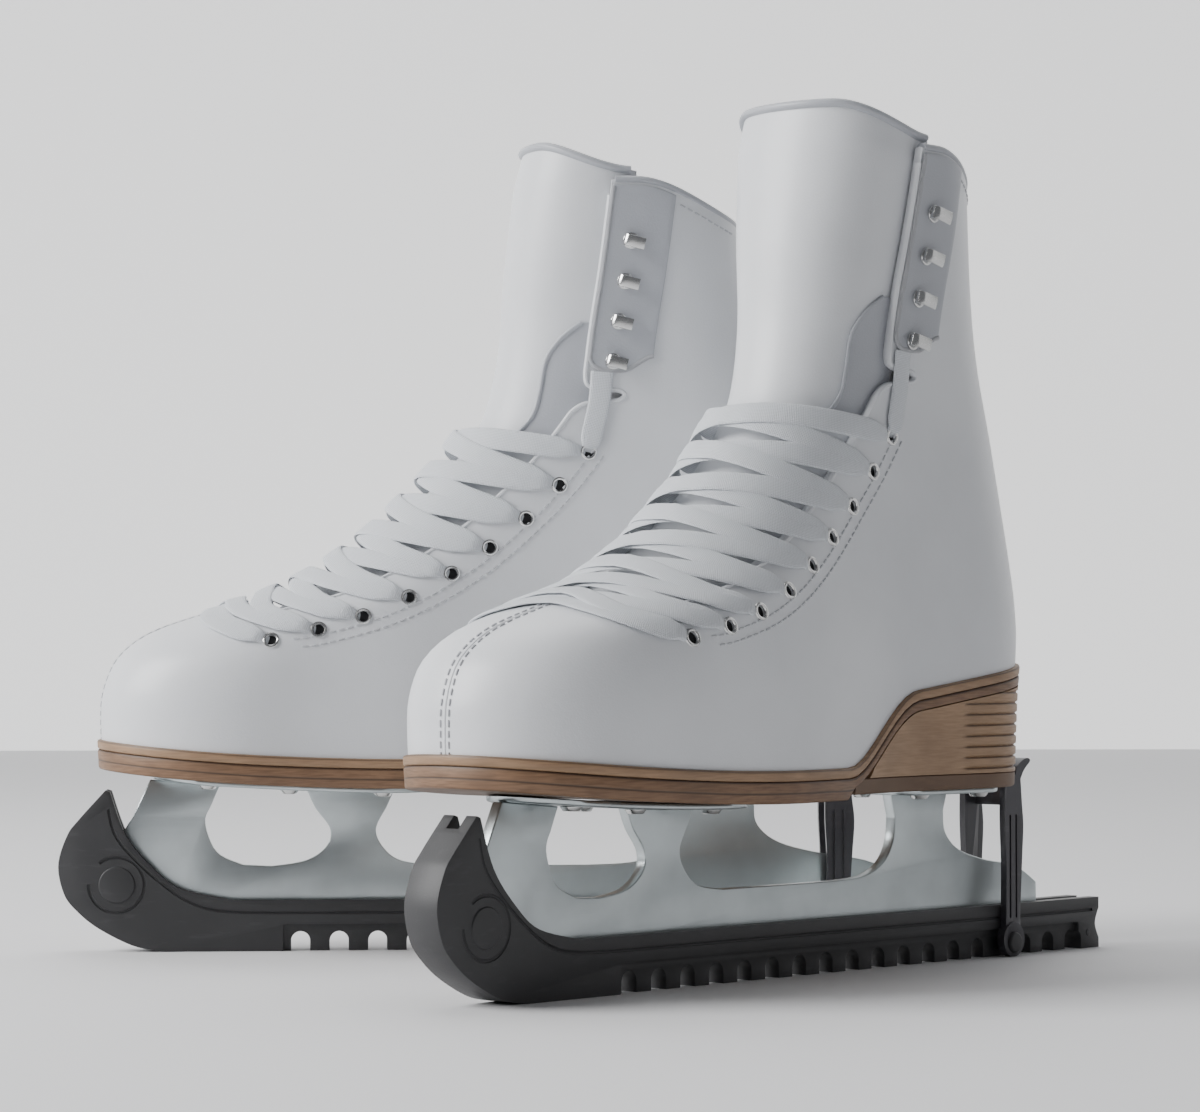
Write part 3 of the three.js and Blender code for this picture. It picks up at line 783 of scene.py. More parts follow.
class Paint:
    """Builds one material's nodes."""

    def __init__(self, name: str) -> None:
        """Starts a material with a Principled shader."""
        self.material = bpy.data.materials.new(name)
        self.material.use_nodes = True
        self.tree = self.material.node_tree
        self.shader = self.tree.nodes["Principled BSDF"]

    def node(self, kind: str, settings: dict | None = None, **inputs: object) -> bpy.types.Node:
        """Adds a node.

        Args:
            kind: The node's type.
            settings: Its own properties, and a ramp's stops as "stops".
            inputs: Values or links for its sockets, by name; _0, _1 and so on by number.

        Returns:
            The node.
        """
        made = self.tree.nodes.new(kind)
        for key, value in (settings or {}).items():
            if key == "stops":
                ramp = made.color_ramp
                while len(ramp.elements) < len(value):
                    ramp.elements.new(0.5)
                for element, (at, colour) in zip(ramp.elements, value):
                    element.position = at
                    element.color = (*colour, 1)
            else:
                setattr(made, key, value)
        for key, value in inputs.items():
            socket = made.inputs[int(key[1:])] if key[0] == "_" else made.inputs[key]
            self.feed(socket, value)
        return made

    def feed(self, socket: bpy.types.NodeSocket, value: object) -> None:
        """Links or sets a socket.

        Args:
            socket: The socket.
            value: A number, a colour or an output.
        """
        if isinstance(value, Value):
            value = value.socket
        if isinstance(value, bpy.types.NodeSocket):
            self.tree.links.new(value, socket)
        elif isinstance(value, tuple) and len(value) == 3 and socket.type == "RGBA":
            socket.default_value = (*value, 1)
        else:
            socket.default_value = value

    def maths(self, operation: str, *terms: object) -> Value:
        """A Math node's result."""
        inputs = {f"_{i}": term for i, term in enumerate(terms)}
        made = self.node("ShaderNodeMath", {"operation": operation}, **inputs)
        return Value(self, made.outputs[0])

    def set(self, **inputs: object) -> None:
        """Sets the shader's sockets; underscores stand for spaces."""
        for key, value in inputs.items():
            self.feed(self.shader.inputs[key.replace("_", " ")], value)

    def place(self, name: str = "skate") -> bpy.types.NodeSocket:
        """The place on the piece, in millimetres of the skate's own frame."""
        found = self.node("ShaderNodeAttribute", {"attribute_name": name})
        return found.outputs["Vector"]

    def parts(self, vector: bpy.types.NodeSocket) -> tuple[Value, Value, Value]:
        """A vector's three numbers."""
        split = self.node("ShaderNodeSeparateXYZ", None, Vector=vector)
        return tuple(Value(self, out) for out in split.outputs)

    def stretched(self, x: float, y: float, z: float) -> bpy.types.NodeSocket:
        """The place, scaled differently along each direction."""
        made = self.node("ShaderNodeMapping", None, Vector=self.place(), Scale=(x, y, z))
        return made.outputs[0]

    def noise(self, scale: float, detail: float = 3, at: object = None) -> Value:
        """Soft noise; scale is in bumps per millimetre."""
        made = self.node("ShaderNodeTexNoise", None, Vector=at or self.place(), Scale=scale,
                         Detail=detail)
        return Value(self, made.outputs["Fac"])

    def cells(self, scale: float, feature: str = "F1") -> Value:
        """Distance inside a pattern of cells; scale is in cells per millimetre."""
        made = self.node("ShaderNodeTexVoronoi", {"feature": feature}, Vector=self.place(),
                         Scale=scale)
        return Value(self, made.outputs["Distance"])

    def blend(self, mask: object, low: object, high: object) -> bpy.types.NodeSocket:
        """A colour between two, by a mask.

        Args:
            mask: 0 for the first colour and 1 for the second.
            low: The first colour.
            high: The second.

        Returns:
            The mixed colour's output.
        """
        made = self.node("ShaderNodeMix", {"data_type": "RGBA"})
        self.feed(made.inputs[0], mask)
        self.feed(made.inputs[6], low)
        self.feed(made.inputs[7], high)
        return made.outputs[2]

    def bump(self, height: Value, distance: float, strength: float = 1) -> None:
        """Raises the surface by a height of 0 to 1 over a distance in millimetres."""
        made = self.node("ShaderNodeBump", None, Height=height, Distance=distance * MM,
                         Strength=strength)
        self.set(Normal=made.outputs[0])


@dataclass(frozen=True)
class Leather:
    """Smooth coated leather with a fine pore grain."""

    colour: Colour
    roughness: float = 0.42
    grain: float = 0.05

    def dress(self, paint: Paint) -> None:
        """Adds this finish's nodes to a material.

        Args:
            paint: The material to dress.
        """
        cloud = paint.noise(0.02, 4)
        pores = paint.cells(1.6)
        fine = paint.noise(2.4, 3)
        tone = tuple(c * 0.93 for c in self.colour)
        height = fine * 0.45 + (1 - pores) * 0.55
        worn = paint.noise(0.5, 5)
        paint.set(
            Base_Color=paint.blend(cloud.within(0.35, 0.7), self.colour, tone),
            Roughness=self.roughness + worn * 0.14 - 0.07,
            Coat_Weight=0.12,
            Coat_Roughness=0.3,
            Specular_IOR_Level=0.45,
        )
        paint.bump(height, self.grain)


@dataclass(frozen=True)
class Stacked:
    """Leather layers seen on edge, waxed: fine lines along the layers.

    Args:
        light: The lighter fibres.
        dark: The darker fibres.
        pitch: The layers' thickness.
        lines: How dark the joins between the layers are.
        start: A height with a join.
        level: Whether the layers are level, rather than following the sole's upper edge.
        behind: Where the joins stop showing, towards the toe.
    """

    light: Colour
    dark: Colour
    pitch: float = 3.3
    lines: float = 0.6
    start: float = 0.0
    level: bool = False
    behind: float = 400.0

    def dress(self, paint: Paint) -> None:
        """Adds this finish's nodes to a material.

        Args:
            paint: The material to dress.
        """
        x, _, z = paint.parts(paint.place("skate" if self.level else "layer"))
        wander = paint.noise(0.03, 2, paint.stretched(1, 1, 0.2)) * 0.5
        half = self.pitch / 2
        seam = 1 - ((z + wander - self.start).fold(half) / half).within(0, 0.3)
        seam = seam * (1 - x.within(self.behind - 2, self.behind + 2))
        fibre = paint.noise(0.55, 5, paint.stretched(0.25, 0.25, 3.2))
        mottle = paint.noise(0.06, 4)
        body = paint.blend(fibre.within(0.3, 0.75), self.light, self.dark)
        aged = paint.blend(mottle.within(0.3, 0.8) * 0.5, body, tuple(c * 0.72 for c in self.dark))
        shade = paint.blend(seam * self.lines, aged, tuple(c * 0.3 for c in self.dark))
        paint.set(Base_Color=shade, Roughness=0.46 + fibre * 0.2, Coat_Weight=0.15,
                  Coat_Roughness=0.35)
        paint.bump(fibre * 0.4 + (1 - seam) * 0.6, 0.12)


@dataclass(frozen=True)
class Woven:
    """A flat woven lace: two sets of threads in a close plait."""

    colour: Colour
    thread: float = 0.55

    def dress(self, paint: Paint) -> None:
        """Adds this finish's nodes to a material.

        Args:
            paint: The material to dress.
        """
        along, across, _ = paint.parts(paint.place("weave"))
        turn = math.pi / self.thread
        left = ((along + across) * turn).sin()
        right = ((along - across) * turn).sin()
        plait = (left * right + 1) * 0.5
        fuzz = paint.noise(1.5, 3)
        # painted shade: the colour darkens where the threads dive under each other, in the weave's
        # gaps
        between = tuple(c * 0.74 for c in self.colour)
        shade = paint.blend(plait.within(0.1, 0.75), between, self.colour)
        paint.set(Base_Color=shade, Roughness=0.86 + fuzz * 0.1, Sheen_Weight=0.3)
        paint.bump(plait * 0.8 + fuzz * 0.2, 0.22)


@dataclass(frozen=True)
class Napped:
    """A soft knitted or brushed lining cloth."""

    colour: Colour

    def dress(self, paint: Paint) -> None:
        """Adds this finish's nodes to a material.

        Args:
            paint: The material to dress.
        """
        loops = paint.cells(1.1)
        nap = paint.noise(1.4, 4)
        shade = paint.blend(nap.within(0.3, 0.7), tuple(c * 0.86 for c in self.colour), self.colour)
        paint.set(Base_Color=shade, Roughness=0.93 + nap * 0.05, Sheen_Weight=0.35)
        paint.bump(nap * 0.5 + loops * 0.5, 0.3)


@dataclass(frozen=True)
class Moulded:
    """Moulded plastic or rubber with a fine spark-eroded texture."""

    colour: Colour
    roughness: float
    texture: float = 0.05
    coat: float = 0.0

    def dress(self, paint: Paint) -> None:
        """Adds this finish's nodes to a material.

        Args:
            paint: The material to dress.
        """
        fine = paint.noise(3.2, 4)
        flow = paint.noise(0.04, 4)
        scuff = paint.noise(0.35, 6, paint.stretched(0.3, 1, 1.4)).within(0.58, 0.72)
        light = tuple(min(c * 1.5 + 0.015, 1) for c in self.colour)
        body = paint.blend(flow.within(0.3, 0.7), self.colour, tuple(c * 1.18 for c in self.colour))
        paint.set(
            Base_Color=paint.blend(scuff * 0.35, body, light),
            Roughness=self.roughness + fine * 0.12 - 0.06 + scuff * 0.06,
            Coat_Weight=self.coat,
            Coat_Roughness=0.25,
        )
        paint.bump(fine * 0.7 + scuff * 0.3, self.texture)


@dataclass(frozen=True)
class Steel:
    """Ground or polished metal with fine marks along its length."""

    colour: Colour
    roughness: float
    marks: float = 0.02

    def dress(self, paint: Paint) -> None:
        """Adds this finish's nodes to a material.

        Args:
            paint: The material to dress.
        """
        brushed = paint.noise(1.1, 5, paint.stretched(0.05, 1, 4))
        cloud = paint.noise(0.05, 3)
        tone = tuple(c * 0.86 for c in self.colour)
        paint.set(
            Base_Color=paint.blend(cloud.within(0.3, 0.75), self.colour, tone),
            Metallic=1.0,
            Roughness=self.roughness + brushed * 0.14 - 0.05 + cloud * 0.05,
        )
        paint.bump(brushed, self.marks)


# ------------------------------------------------------------------ the boot
def loops_between(
    form: BootForm, low: Callable, high: Callable, outset: float, steps: int, edge: float = 0.6
) -> list[np.ndarray]:
    """Loops of a slab that follows the boot's outline, with rounded edges.

    Args:
        form: The boot's shape.
        low: Height of its underside at each x.
        high: Height of its top at each x.
        outset: How far it stands out from the upper.
        steps: Steps along each side.
        edge: Radius of its edges.

    Returns:
        The loops, from inside the underside round the edge to inside the top.
    """
    plan = [
        (low, 0, 26), (low, 0, 12), (low, 0, edge), (low, edge * 0.3, edge * 0.3), (low, edge, 0),
        (high, -edge, 0), (high, -edge * 0.3, edge * 0.3), (high, 0, edge), (high, 0, 12),
        (high, 0, 26),
    ]
    return [
        form.ring(lambda x, h=height, r=rise: h(x) + r, inner - outset, steps)
        for height, rise, inner in plan
    ]


@dataclass
class Upper:
    """The leather boot: shell, trims, stitching, eyelets, hook strips and hooks."""

    form: BootForm
    throat: Throat
    leather: float = 3
    steps: int = 84
    hooks: int = 4
    hook_pitch: float = 13.7
    hook_from: float = 202.5
    hook_back: float = 9
    strip_width: float = 22

    def shell(self) -> bpy.types.Object:
        """The leather shell, open at the foot, the throat and the top."""
        form = self.form
        rows = [lambda x, t=t: mix(form.feather(x), 112, t) for t in np.linspace(0, 1, 15)[:-1]]
        level = [*np.arange(112, 126, 1.0), *np.arange(126, 150, 1.7), *np.arange(150, 226, 3.0)]
        rows += [lambda x, z=z: z + 0 * x for z in level]
        rows += [lambda x, t=t: mix(226, form.cuff(x), t) for t in np.linspace(0, 1, 14)]
        outer = [form.ring(row, 0, self.steps) for row in rows]
        inner = [form.ring(row, self.leather, self.steps) for row in rows]
        middle = form.ring(lambda x: form.cuff(x) + 0.5, self.leather / 2, self.steps)
        floor = form.ring(lambda x: form.feather(x) + 2, self.leather, self.steps)
        piece = Bench.sheet(
            "boot_upper", np.stack([*outer, middle, *inner[1:][::-1], floor, outer[0]])
        )
        Bench.tidy(piece)
        outline = self.throat.outline()
        Bench.cut(piece, Bench.profile("throat", outline, -60, 60))
        bores = []
        for side in (1, -1):
            for x, z in self.throat.eyelets:
                out = form.outward(x, z, side)
                at = form.skin(x, z, side)
                bores.append(Bench.cylinder("bore", at + out * 2, at - out * 5, 2.2, 16))
        Bench.cut(piece, *bores)
        Bench.smooth(piece, 35)
        return piece

    def edge_path(self, side: int, lift: float) -> tuple[list[Vector], list[Vector]]:
        """A path up the facing's edge, round the notch and up the flap, with its ups."""
        flap = [(float(self.throat.flap_x(z)), z) for z in np.linspace(201, 259, 20)]
        places = [*self.throat.edge(56)[2:], *self.throat.corner()[1:], *flap]
        return self.on_skin(places, side, lift)

    def on_skin(
        self, places: Points, side: int, lift: float
    ) -> tuple[list[Vector], list[Vector]]:
        """Points lifted off the surface at side-view places, with the outward directions.

        Args:
            places: The x and z places.
            side: 1 for the outer side of the foot, -1 for the inner.
            lift: How far off the surface they lie.

        Returns:
            The points and the directions.
        """
        ups = [self.form.outward(x, z, side) for x, z in places]
        path = [self.form.skin(x, z, side) + up * lift for (x, z), up in zip(places, ups)]
        return path, ups

    def edge_trims(self) -> bpy.types.Object:
        """Turned edges along the facings and hook flaps."""
        parts = []
        for side in (1, -1):
            path, ups = self.edge_path(side, -0.9)
            parts.append(Bench.swept("edge", path, ups, oval(0.9, 1.5, 10)))
        return Bench.join("facing_edges", parts)

    def cuff_path(self, inset: float, rise: float) -> tuple[list[Vector], list[Vector]]:
        """A path round the cuff's edge from one hook flap to the other.

        Args:
            inset: How far inside the outer surface it lies.
            rise: How far above the edge.

        Returns:
            The path and its ups.
        """
        ring = self.form.ring(lambda x: self.form.cuff(x) + rise, inset, self.steps)
        limit = [float(self.throat.flap_x(z)) for z in ring[:, 2]]
        kept = [Vector(p) for p, x in zip(ring[:-1], limit) if p[0] < x - 0.4]
        split = max(range(1, len(kept)), key=lambda i: (kept[i] - kept[i - 1]).length)
        path = kept[split:] + kept[:split]
        return path, [Vector((0, 0, 1))] * len(path)

    def cuff_piping(self) -> bpy.types.Object:
        """The grey bound edge round the top of the cuff."""
        path, ups = self.cuff_path(1.5, 0.3)
        return Bench.swept("cuff_piping", path, ups, oval(2.0, 1.5, 12))

    def spaced(self, path: list[Vector], ups: list[Vector], pitch: float = 3.1) -> list[Matrix]:
        """Places of stitches at an even pitch along a path.

        Args:
            path: The points of the path.
            ups: The outward direction at each.
            pitch: From one stitch to the next.

        Returns:
            One place for each stitch.
        """
        found, gone = [], 0.0
        for i in range(1, len(path)):
            span = path[i] - path[i - 1]
            while gone <= span.length:
                at = path[i - 1] + span * (gone / max(span.length, 1e-6))
                found.append(facing(at, ups[i], span))
                gone += pitch
            gone -= span.length
        return found

    def stitching(self) -> bpy.types.Object:
        """Lines of stitches: below the eyelets, along the front of the hook flaps, at the back of
        the cuff and beside the toe seam.
        """
        edge = [(x - 13.5, z - 11.5) for x, z in self.throat.edge(50)[6:]]
        turn = [(x - 10.5, z - 9) for x, z in self.throat.edge(50)[6:]]
        cuff = [(x, float(self.form.cuff(x)) - 4) for x in np.linspace(-68, -49, 16)]
        front = [(float(self.throat.flap_x(z)) - 2.2, z) for z in np.linspace(202, 258, 30)]
        places = []
        for line in (edge, turn, cuff, front):
            for side in (1, -1):
                places += self.spaced(*self.on_skin(line, side, 0.12))
        for off in (-1.7, 1.7):
            places += self.spaced(*self.toe_path(off, 0.12))
        model = Bench.cylinder("stitch", Vector((-1.05, 0, 0)), Vector((1.05, 0, 0)), 0.38, 6)
        Bench.modify(model, "BEVEL", width=0.2, segments=1)
        return Bench.copies("stitching", model, places)

    def toe_path(self, off: float, lift: float) -> tuple[list[Vector], list[Vector]]:
        """A line down the middle of the toe, from the throat to the sole, with its ups.

        Args:
            off: How far to the side of the middle it runs.
            lift: How far off the surface.

        Returns:
            The path and its ups.
        """
        path, ups = [], []
        for z in np.linspace(120, 71, 120):
            x = float(self.form.front(z))
            ahead = float(self.form.front(z + 0.5) - self.form.front(z - 0.5))
            up = Vector((1, 0, -ahead)).normalized()
            path.append(Vector((x, float(self.form.middle(x, z)) + off, z)) + up * lift)
            ups.append(up)
        return path, ups

    def toe_ridge(self) -> bpy.types.Object:
        """The closed seam down the middle of the toe."""
        path, ups = self.toe_path(0, -0.3)
        return Bench.swept("toe_seam", path, ups, oval(0.55, 0.6, 8))

    def eyelets(self) -> bpy.types.Object:
        """Rolled metal rims in the eyelet holes."""
        Bench.clear()
        bpy.ops.mesh.primitive_torus_add(
            major_radius=2.35, minor_radius=0.6, major_segments=24, minor_segments=8
        )
        rim = Bench.named("eyelet")
        rim.data.transform(Matrix.Diagonal((1, 1, 0.8, 1)))
        places = []
        for side in (1, -1):
            for x, z in self.throat.eyelets:
                out = self.form.outward(x, z, side)
                at = self.form.skin(x, z, side) + out * 0.15
                places.append(facing(at, out, Vector((0.6, 0, -0.8))))
        return Bench.copies("eyelets", rim, places)

    def barrels(self) -> bpy.types.Object:
        """Near-black discs deep in the eyelet holes: painted shade inside the holes."""
        parts = []
        for side in (1, -1):
            for x, z in self.throat.eyelets:
                out = self.form.outward(x, z, side)
                at = self.form.skin(x, z, side)
                # a near-black disc inside each hole, painted shade where the hole falls dark
                parts.append(Bench.cylinder("barrel", at - out * 2.4, at - out * 1.1, 2.15, 18))
        return Bench.join("eyelet_barrels", parts)

    def strip_ends(self, d: float) -> tuple[float, float]:
        """The hook strip's lower and upper end, at a distance behind its front edge."""
        corner = 6 - math.sqrt(max(36 - max(6 - d, 0) ** 2, 0))
        low = 199.5 + corner + 5 * float(smooth(12, self.strip_width, d))
        return low, float(self.form.cuff(-26 - d)) - 1.4

    def strips(self) -> bpy.types.Object:
        """The grey panels that carry the hooks, with their raised edges."""
        parts = []
        for side in (1, -1):
            rows = []
            for t in np.linspace(0, 1, 40):
                row = []
                for d in [*np.linspace(0, 6, 9)[:-1], *np.linspace(6, self.strip_width, 10)]:
                    low, high = self.strip_ends(float(d))
                    height = mix(low, high, t)
                    x = float(self.throat.flap_x(height)) - 0.5 - d
                    out = self.form.outward(x, height, side)
                    row.append(self.form.skin(x, height, side) + out * 0.25)
                rows.append(np.array(row))
            panel = Bench.sheet("strip", np.stack(rows))
            Bench.edit(panel, lambda: bpy.ops.mesh.normals_make_consistent(inside=False))
            if (panel.data.polygons[0].normal.y > 0) != (side > 0):
                Bench.edit(panel, lambda: bpy.ops.mesh.flip_normals())
            Bench.modify(panel, "SOLIDIFY", thickness=0.9, offset=1)
            Bench.modify(panel, "BEVEL", width=0.35, segments=2, limit_method="ANGLE",
                         angle_limit=math.radians(60))
            Bench.smooth(panel, 50)
            parts.append(panel)
        return Bench.join("hook_strips", parts)

    def strip_trim(self) -> bpy.types.Object:
        """The pale cord sewn round each hook strip."""
        parts = []
        for side in (1, -1):
            heights = np.linspace(262, 206, 26)
            front = [(float(self.throat.flap_x(h)) - 0.8, float(h)) for h in heights]
            low = []
            for d in [0.3, 1, 2, 3.5, 5, 7, *np.linspace(9, self.strip_width, 8)]:
                z = self.strip_ends(float(d))[0]
                low.append((float(self.throat.flap_x(z)) - 0.5 - float(d), z))
            path, ups = self.on_skin([*front, *low], side, 1.0)
            parts.append(Bench.swept("trim", path, ups, oval(0.8, 0.55, 8)))
        return Bench.join("strip_trim", parts)

    def hook_model(self) -> bpy.types.Object:
        """One lace hook: a riveted foot and a flat arm curled back over it."""
        foot = Bench.cylinder("foot", Vector((0, 0, 0)), Vector((0, 0, 1.0)), 2.9, 20)
        Bench.modify(foot, "BEVEL", width=0.35, segments=3, limit_method="ANGLE")
        rivet = Bench.cylinder("rivet", Vector((0, 0, 0.8)), Vector((0, 0, 1.7)), 1.3, 14, 0.8)
        places = spline([(1.8, 0.8), (2.3, 2.2), (1.2, 3.5), (-1.6, 3.9), (-4.6, 4.1)], 14)
        path = [Vector((x, 0, z)) for x, z in places]
        ups = [Vector((1, 0, 0.4))] * 4 + [Vector((0, 0, 1))] * (len(path) - 4)
        arm = Bench.swept("arm", path, ups, oval(2.1, 0.42, 12, 3))
        model = Bench.join("hook", [foot, rivet, arm])
        Bench.smooth(model, 40)
        return model

    def hook_pieces(self) -> bpy.types.Object:
        """All the hooks of one skate."""
        places = []
        for side in (1, -1):
            for i in range(self.hooks):
                z = self.hook_from + i * self.hook_pitch
                x = float(self.throat.flap_x(z)) - self.hook_back
                out = self.form.outward(x, z, side)
                at = self.form.skin(x, z, side) + out * 1.1
                places.append(facing(at, out, Vector((1, 0, 0.25))))
        return Bench.copies("lace_hooks", self.hook_model(), places)


@dataclass
class Inside:
    """The soft inside of the boot: collar, footbed and tongue."""

    form: BootForm
    throat: Throat
    lap: float = 9
    tongue_inset: float = 3.3
    tongue_thick: float = 4.5
    hinge_z: float = 191.4
    collar_inset: float = 5.3
    collar_half: float = 2.0
    collar_low: float = 151
    collar_middle: float = 200

    def lap_x(self, z: np.ndarray) -> np.ndarray:
        """Where the tongue's edge lies under the facings, at a height."""
        low = [(z0 - self.lap * 0.8, x0 - self.lap * 0.6) for x0, z0 in self.throat.facing[2:]]
        high = [(z0, x0 - self.lap) for x0, z0 in self.throat.flap]
        return Graph([*low, *high])(z)

    def tongue_row(self, z: Callable, inset: float, columns: int) -> list[Vector]:
        """Points across the tongue; z gives the height at each place from -1 to 1.

        Args:
            z: Gives the height from the middle at 0 to the sides at 1.
            inset: How far inside the outer surface.
            columns: How many points.

        Returns:
            The points, from the outer side to the inner.
        """
        row = []
        for s in np.linspace(1, -1, columns):
            height = z(abs(s))
            front = float(self.form.front(height, inset))
            edge = float(self.lap_x(min(height, 262)))
            x = edge + (front - edge) * math.cos(s * math.pi / 2)
            side = 1 if s >= 0 else -1
            point = self.form.skin(x, height, side, inset)
            row.append(point)
        return row

    def tongue_top(self, s: float) -> float:
        """Height of the tongue's top edge, from its middle at 0 to its sides at 1."""
        return 277.4 - 9.5 * float(smooth(0.3, 1, s))

    def tongue_heights(self, t: float) -> Callable[[float], float]:
        """The heights across the tongue at one row.

        Args:
            t: The row's place, from the toe end at 0 to the top edge at 1.

        Returns:
            What gives the height from the tongue's middle at 0 to its sides at 1.
        """
        level, curved, low, high = 0.72, 0.28, 113, 238
        if t < level:
            base = mix(low, high, t / level)
            return lambda s: base
        up = (t - level) / curved
        return lambda s: mix(high, self.tongue_top(s), up)

    def tongue(self) -> bpy.types.Object:
        """The padded tongue, one crowned piece from the toe to above the cuff."""
        columns, rows = 44, 64
        loops = []
        for k in range(rows):
            t = k / (rows - 1)
            taper = min(1.0, 0.25 + 9 * min(t, 1 - t))
            heights = self.tongue_heights(t)
            half = self.tongue_thick / 2 * taper
            centre = self.tongue_inset + self.tongue_thick / 2
            outer = self.tongue_row(heights, centre - half, columns)
            inner = self.tongue_row(heights, centre + half, columns)
            for j in range(4):
                pinch = 0.5 * (1 - j / 4)
                for row in (outer, inner):
                    for i in (j, columns - 1 - j):
                        row[i] = row[i].lerp((outer[i] + inner[i]) / 2, pinch)
            loop = [*outer, *inner[::-1]]
            loops.append(np.array([*loop, loop[0]]))
        return Bench.lofted("tongue", loops, 60)

    def tongue_piping(self) -> bpy.types.Object:
        """The grey bound edge along the tongue's top."""
        row = self.tongue_row(lambda s: self.tongue_top(s) + 0.2, 5.5, 60)[1:-1]
        return Bench.swept("tongue_piping", row, [Vector((0, 0, 1))] * len(row), oval(2.3, 1.5, 12))

    def side_panels(self) -> bpy.types.Object:
        """Grey panels low on each side of the tongue, with a curved front seam."""
        seam = Graph([(177, 7), (184, 1), (192, -1.5), (204, -4), (211, -9), (216, -15.5)])
        parts = []
        for side in (1, -1):
            rows, edge = [], []
            for z in np.linspace(177, 216, 30):
                back = max(float(self.lap_x(z)) + 2, float(self.throat.flap_x(max(z, 199))) - 3)
                xs = np.linspace(min(float(seam(z)), 60), back, 12)
                rows.append(np.array([self.form.skin(x, z, side, 2.75) for x in xs]))
                edge.append(self.form.skin(float(seam(z)), z, side, 2.6))
            panel = Bench.sheet("panel", np.stack(rows))
            if (panel.data.polygons[0].normal.y > 0) != (side > 0):
                Bench.edit(panel, lambda: bpy.ops.mesh.flip_normals())
            Bench.modify(panel, "SOLIDIFY", thickness=1.0, offset=-1)
            Bench.smooth(panel, 50)
            out = Vector((0, side, 0))
            parts += [panel, Bench.swept("seam", edge, [out] * len(edge), oval(0.8, 0.6, 8))]
        return Bench.join("tongue_side_panels", parts)

    def collar(self) -> bpy.types.Object:
        """The padded collar lining round the back and sides of the leg opening."""
        columns, rows = 72, 30
        loops = []
        for k in range(rows):
            t = k / (rows - 1)
            taper = min(1.0, 0.3 + 7 * min(t, 1 - t))
            half = self.collar_half * taper
            walls = []
            for inset in (self.collar_inset - half, self.collar_inset + half):
                wall = []
                for a in np.linspace(0, 1, columns):
                    z = float(mix(self.collar_low, self.collar_middle, min(t * 2, 1)))
                    x = z
                    for _ in range(3):
                        end = float(self.lap_x(min(z, 262))) - 1.3
                        back = float(self.form.back(z, inset))
                        x = back + (end - back) * (1 - math.sin(math.pi * a))
                        if t > 0.5:
                            top = self.form.cuff(x) + 0.6
                            z = float(mix(self.collar_middle, top, t * 2 - 1))
                    side = 1 if a < 0.5 else -1
                    wall.append(self.form.skin(x, z, side, inset))
                walls.append(wall)
            loop = [*walls[0], *walls[1][::-1]]
            loops.append(np.array([*loop, loop[0]]))
        return Bench.lofted("collar_lining", loops, 60)

    def footbed(self) -> bpy.types.Object:
        """The footbed, slightly dished."""
        form = self.form
        low, high = form.above(2.4), form.above(6)
        return Bench.lofted("footbed", loops_between(form, low, high, -3.5, 50, 0.8), 50)


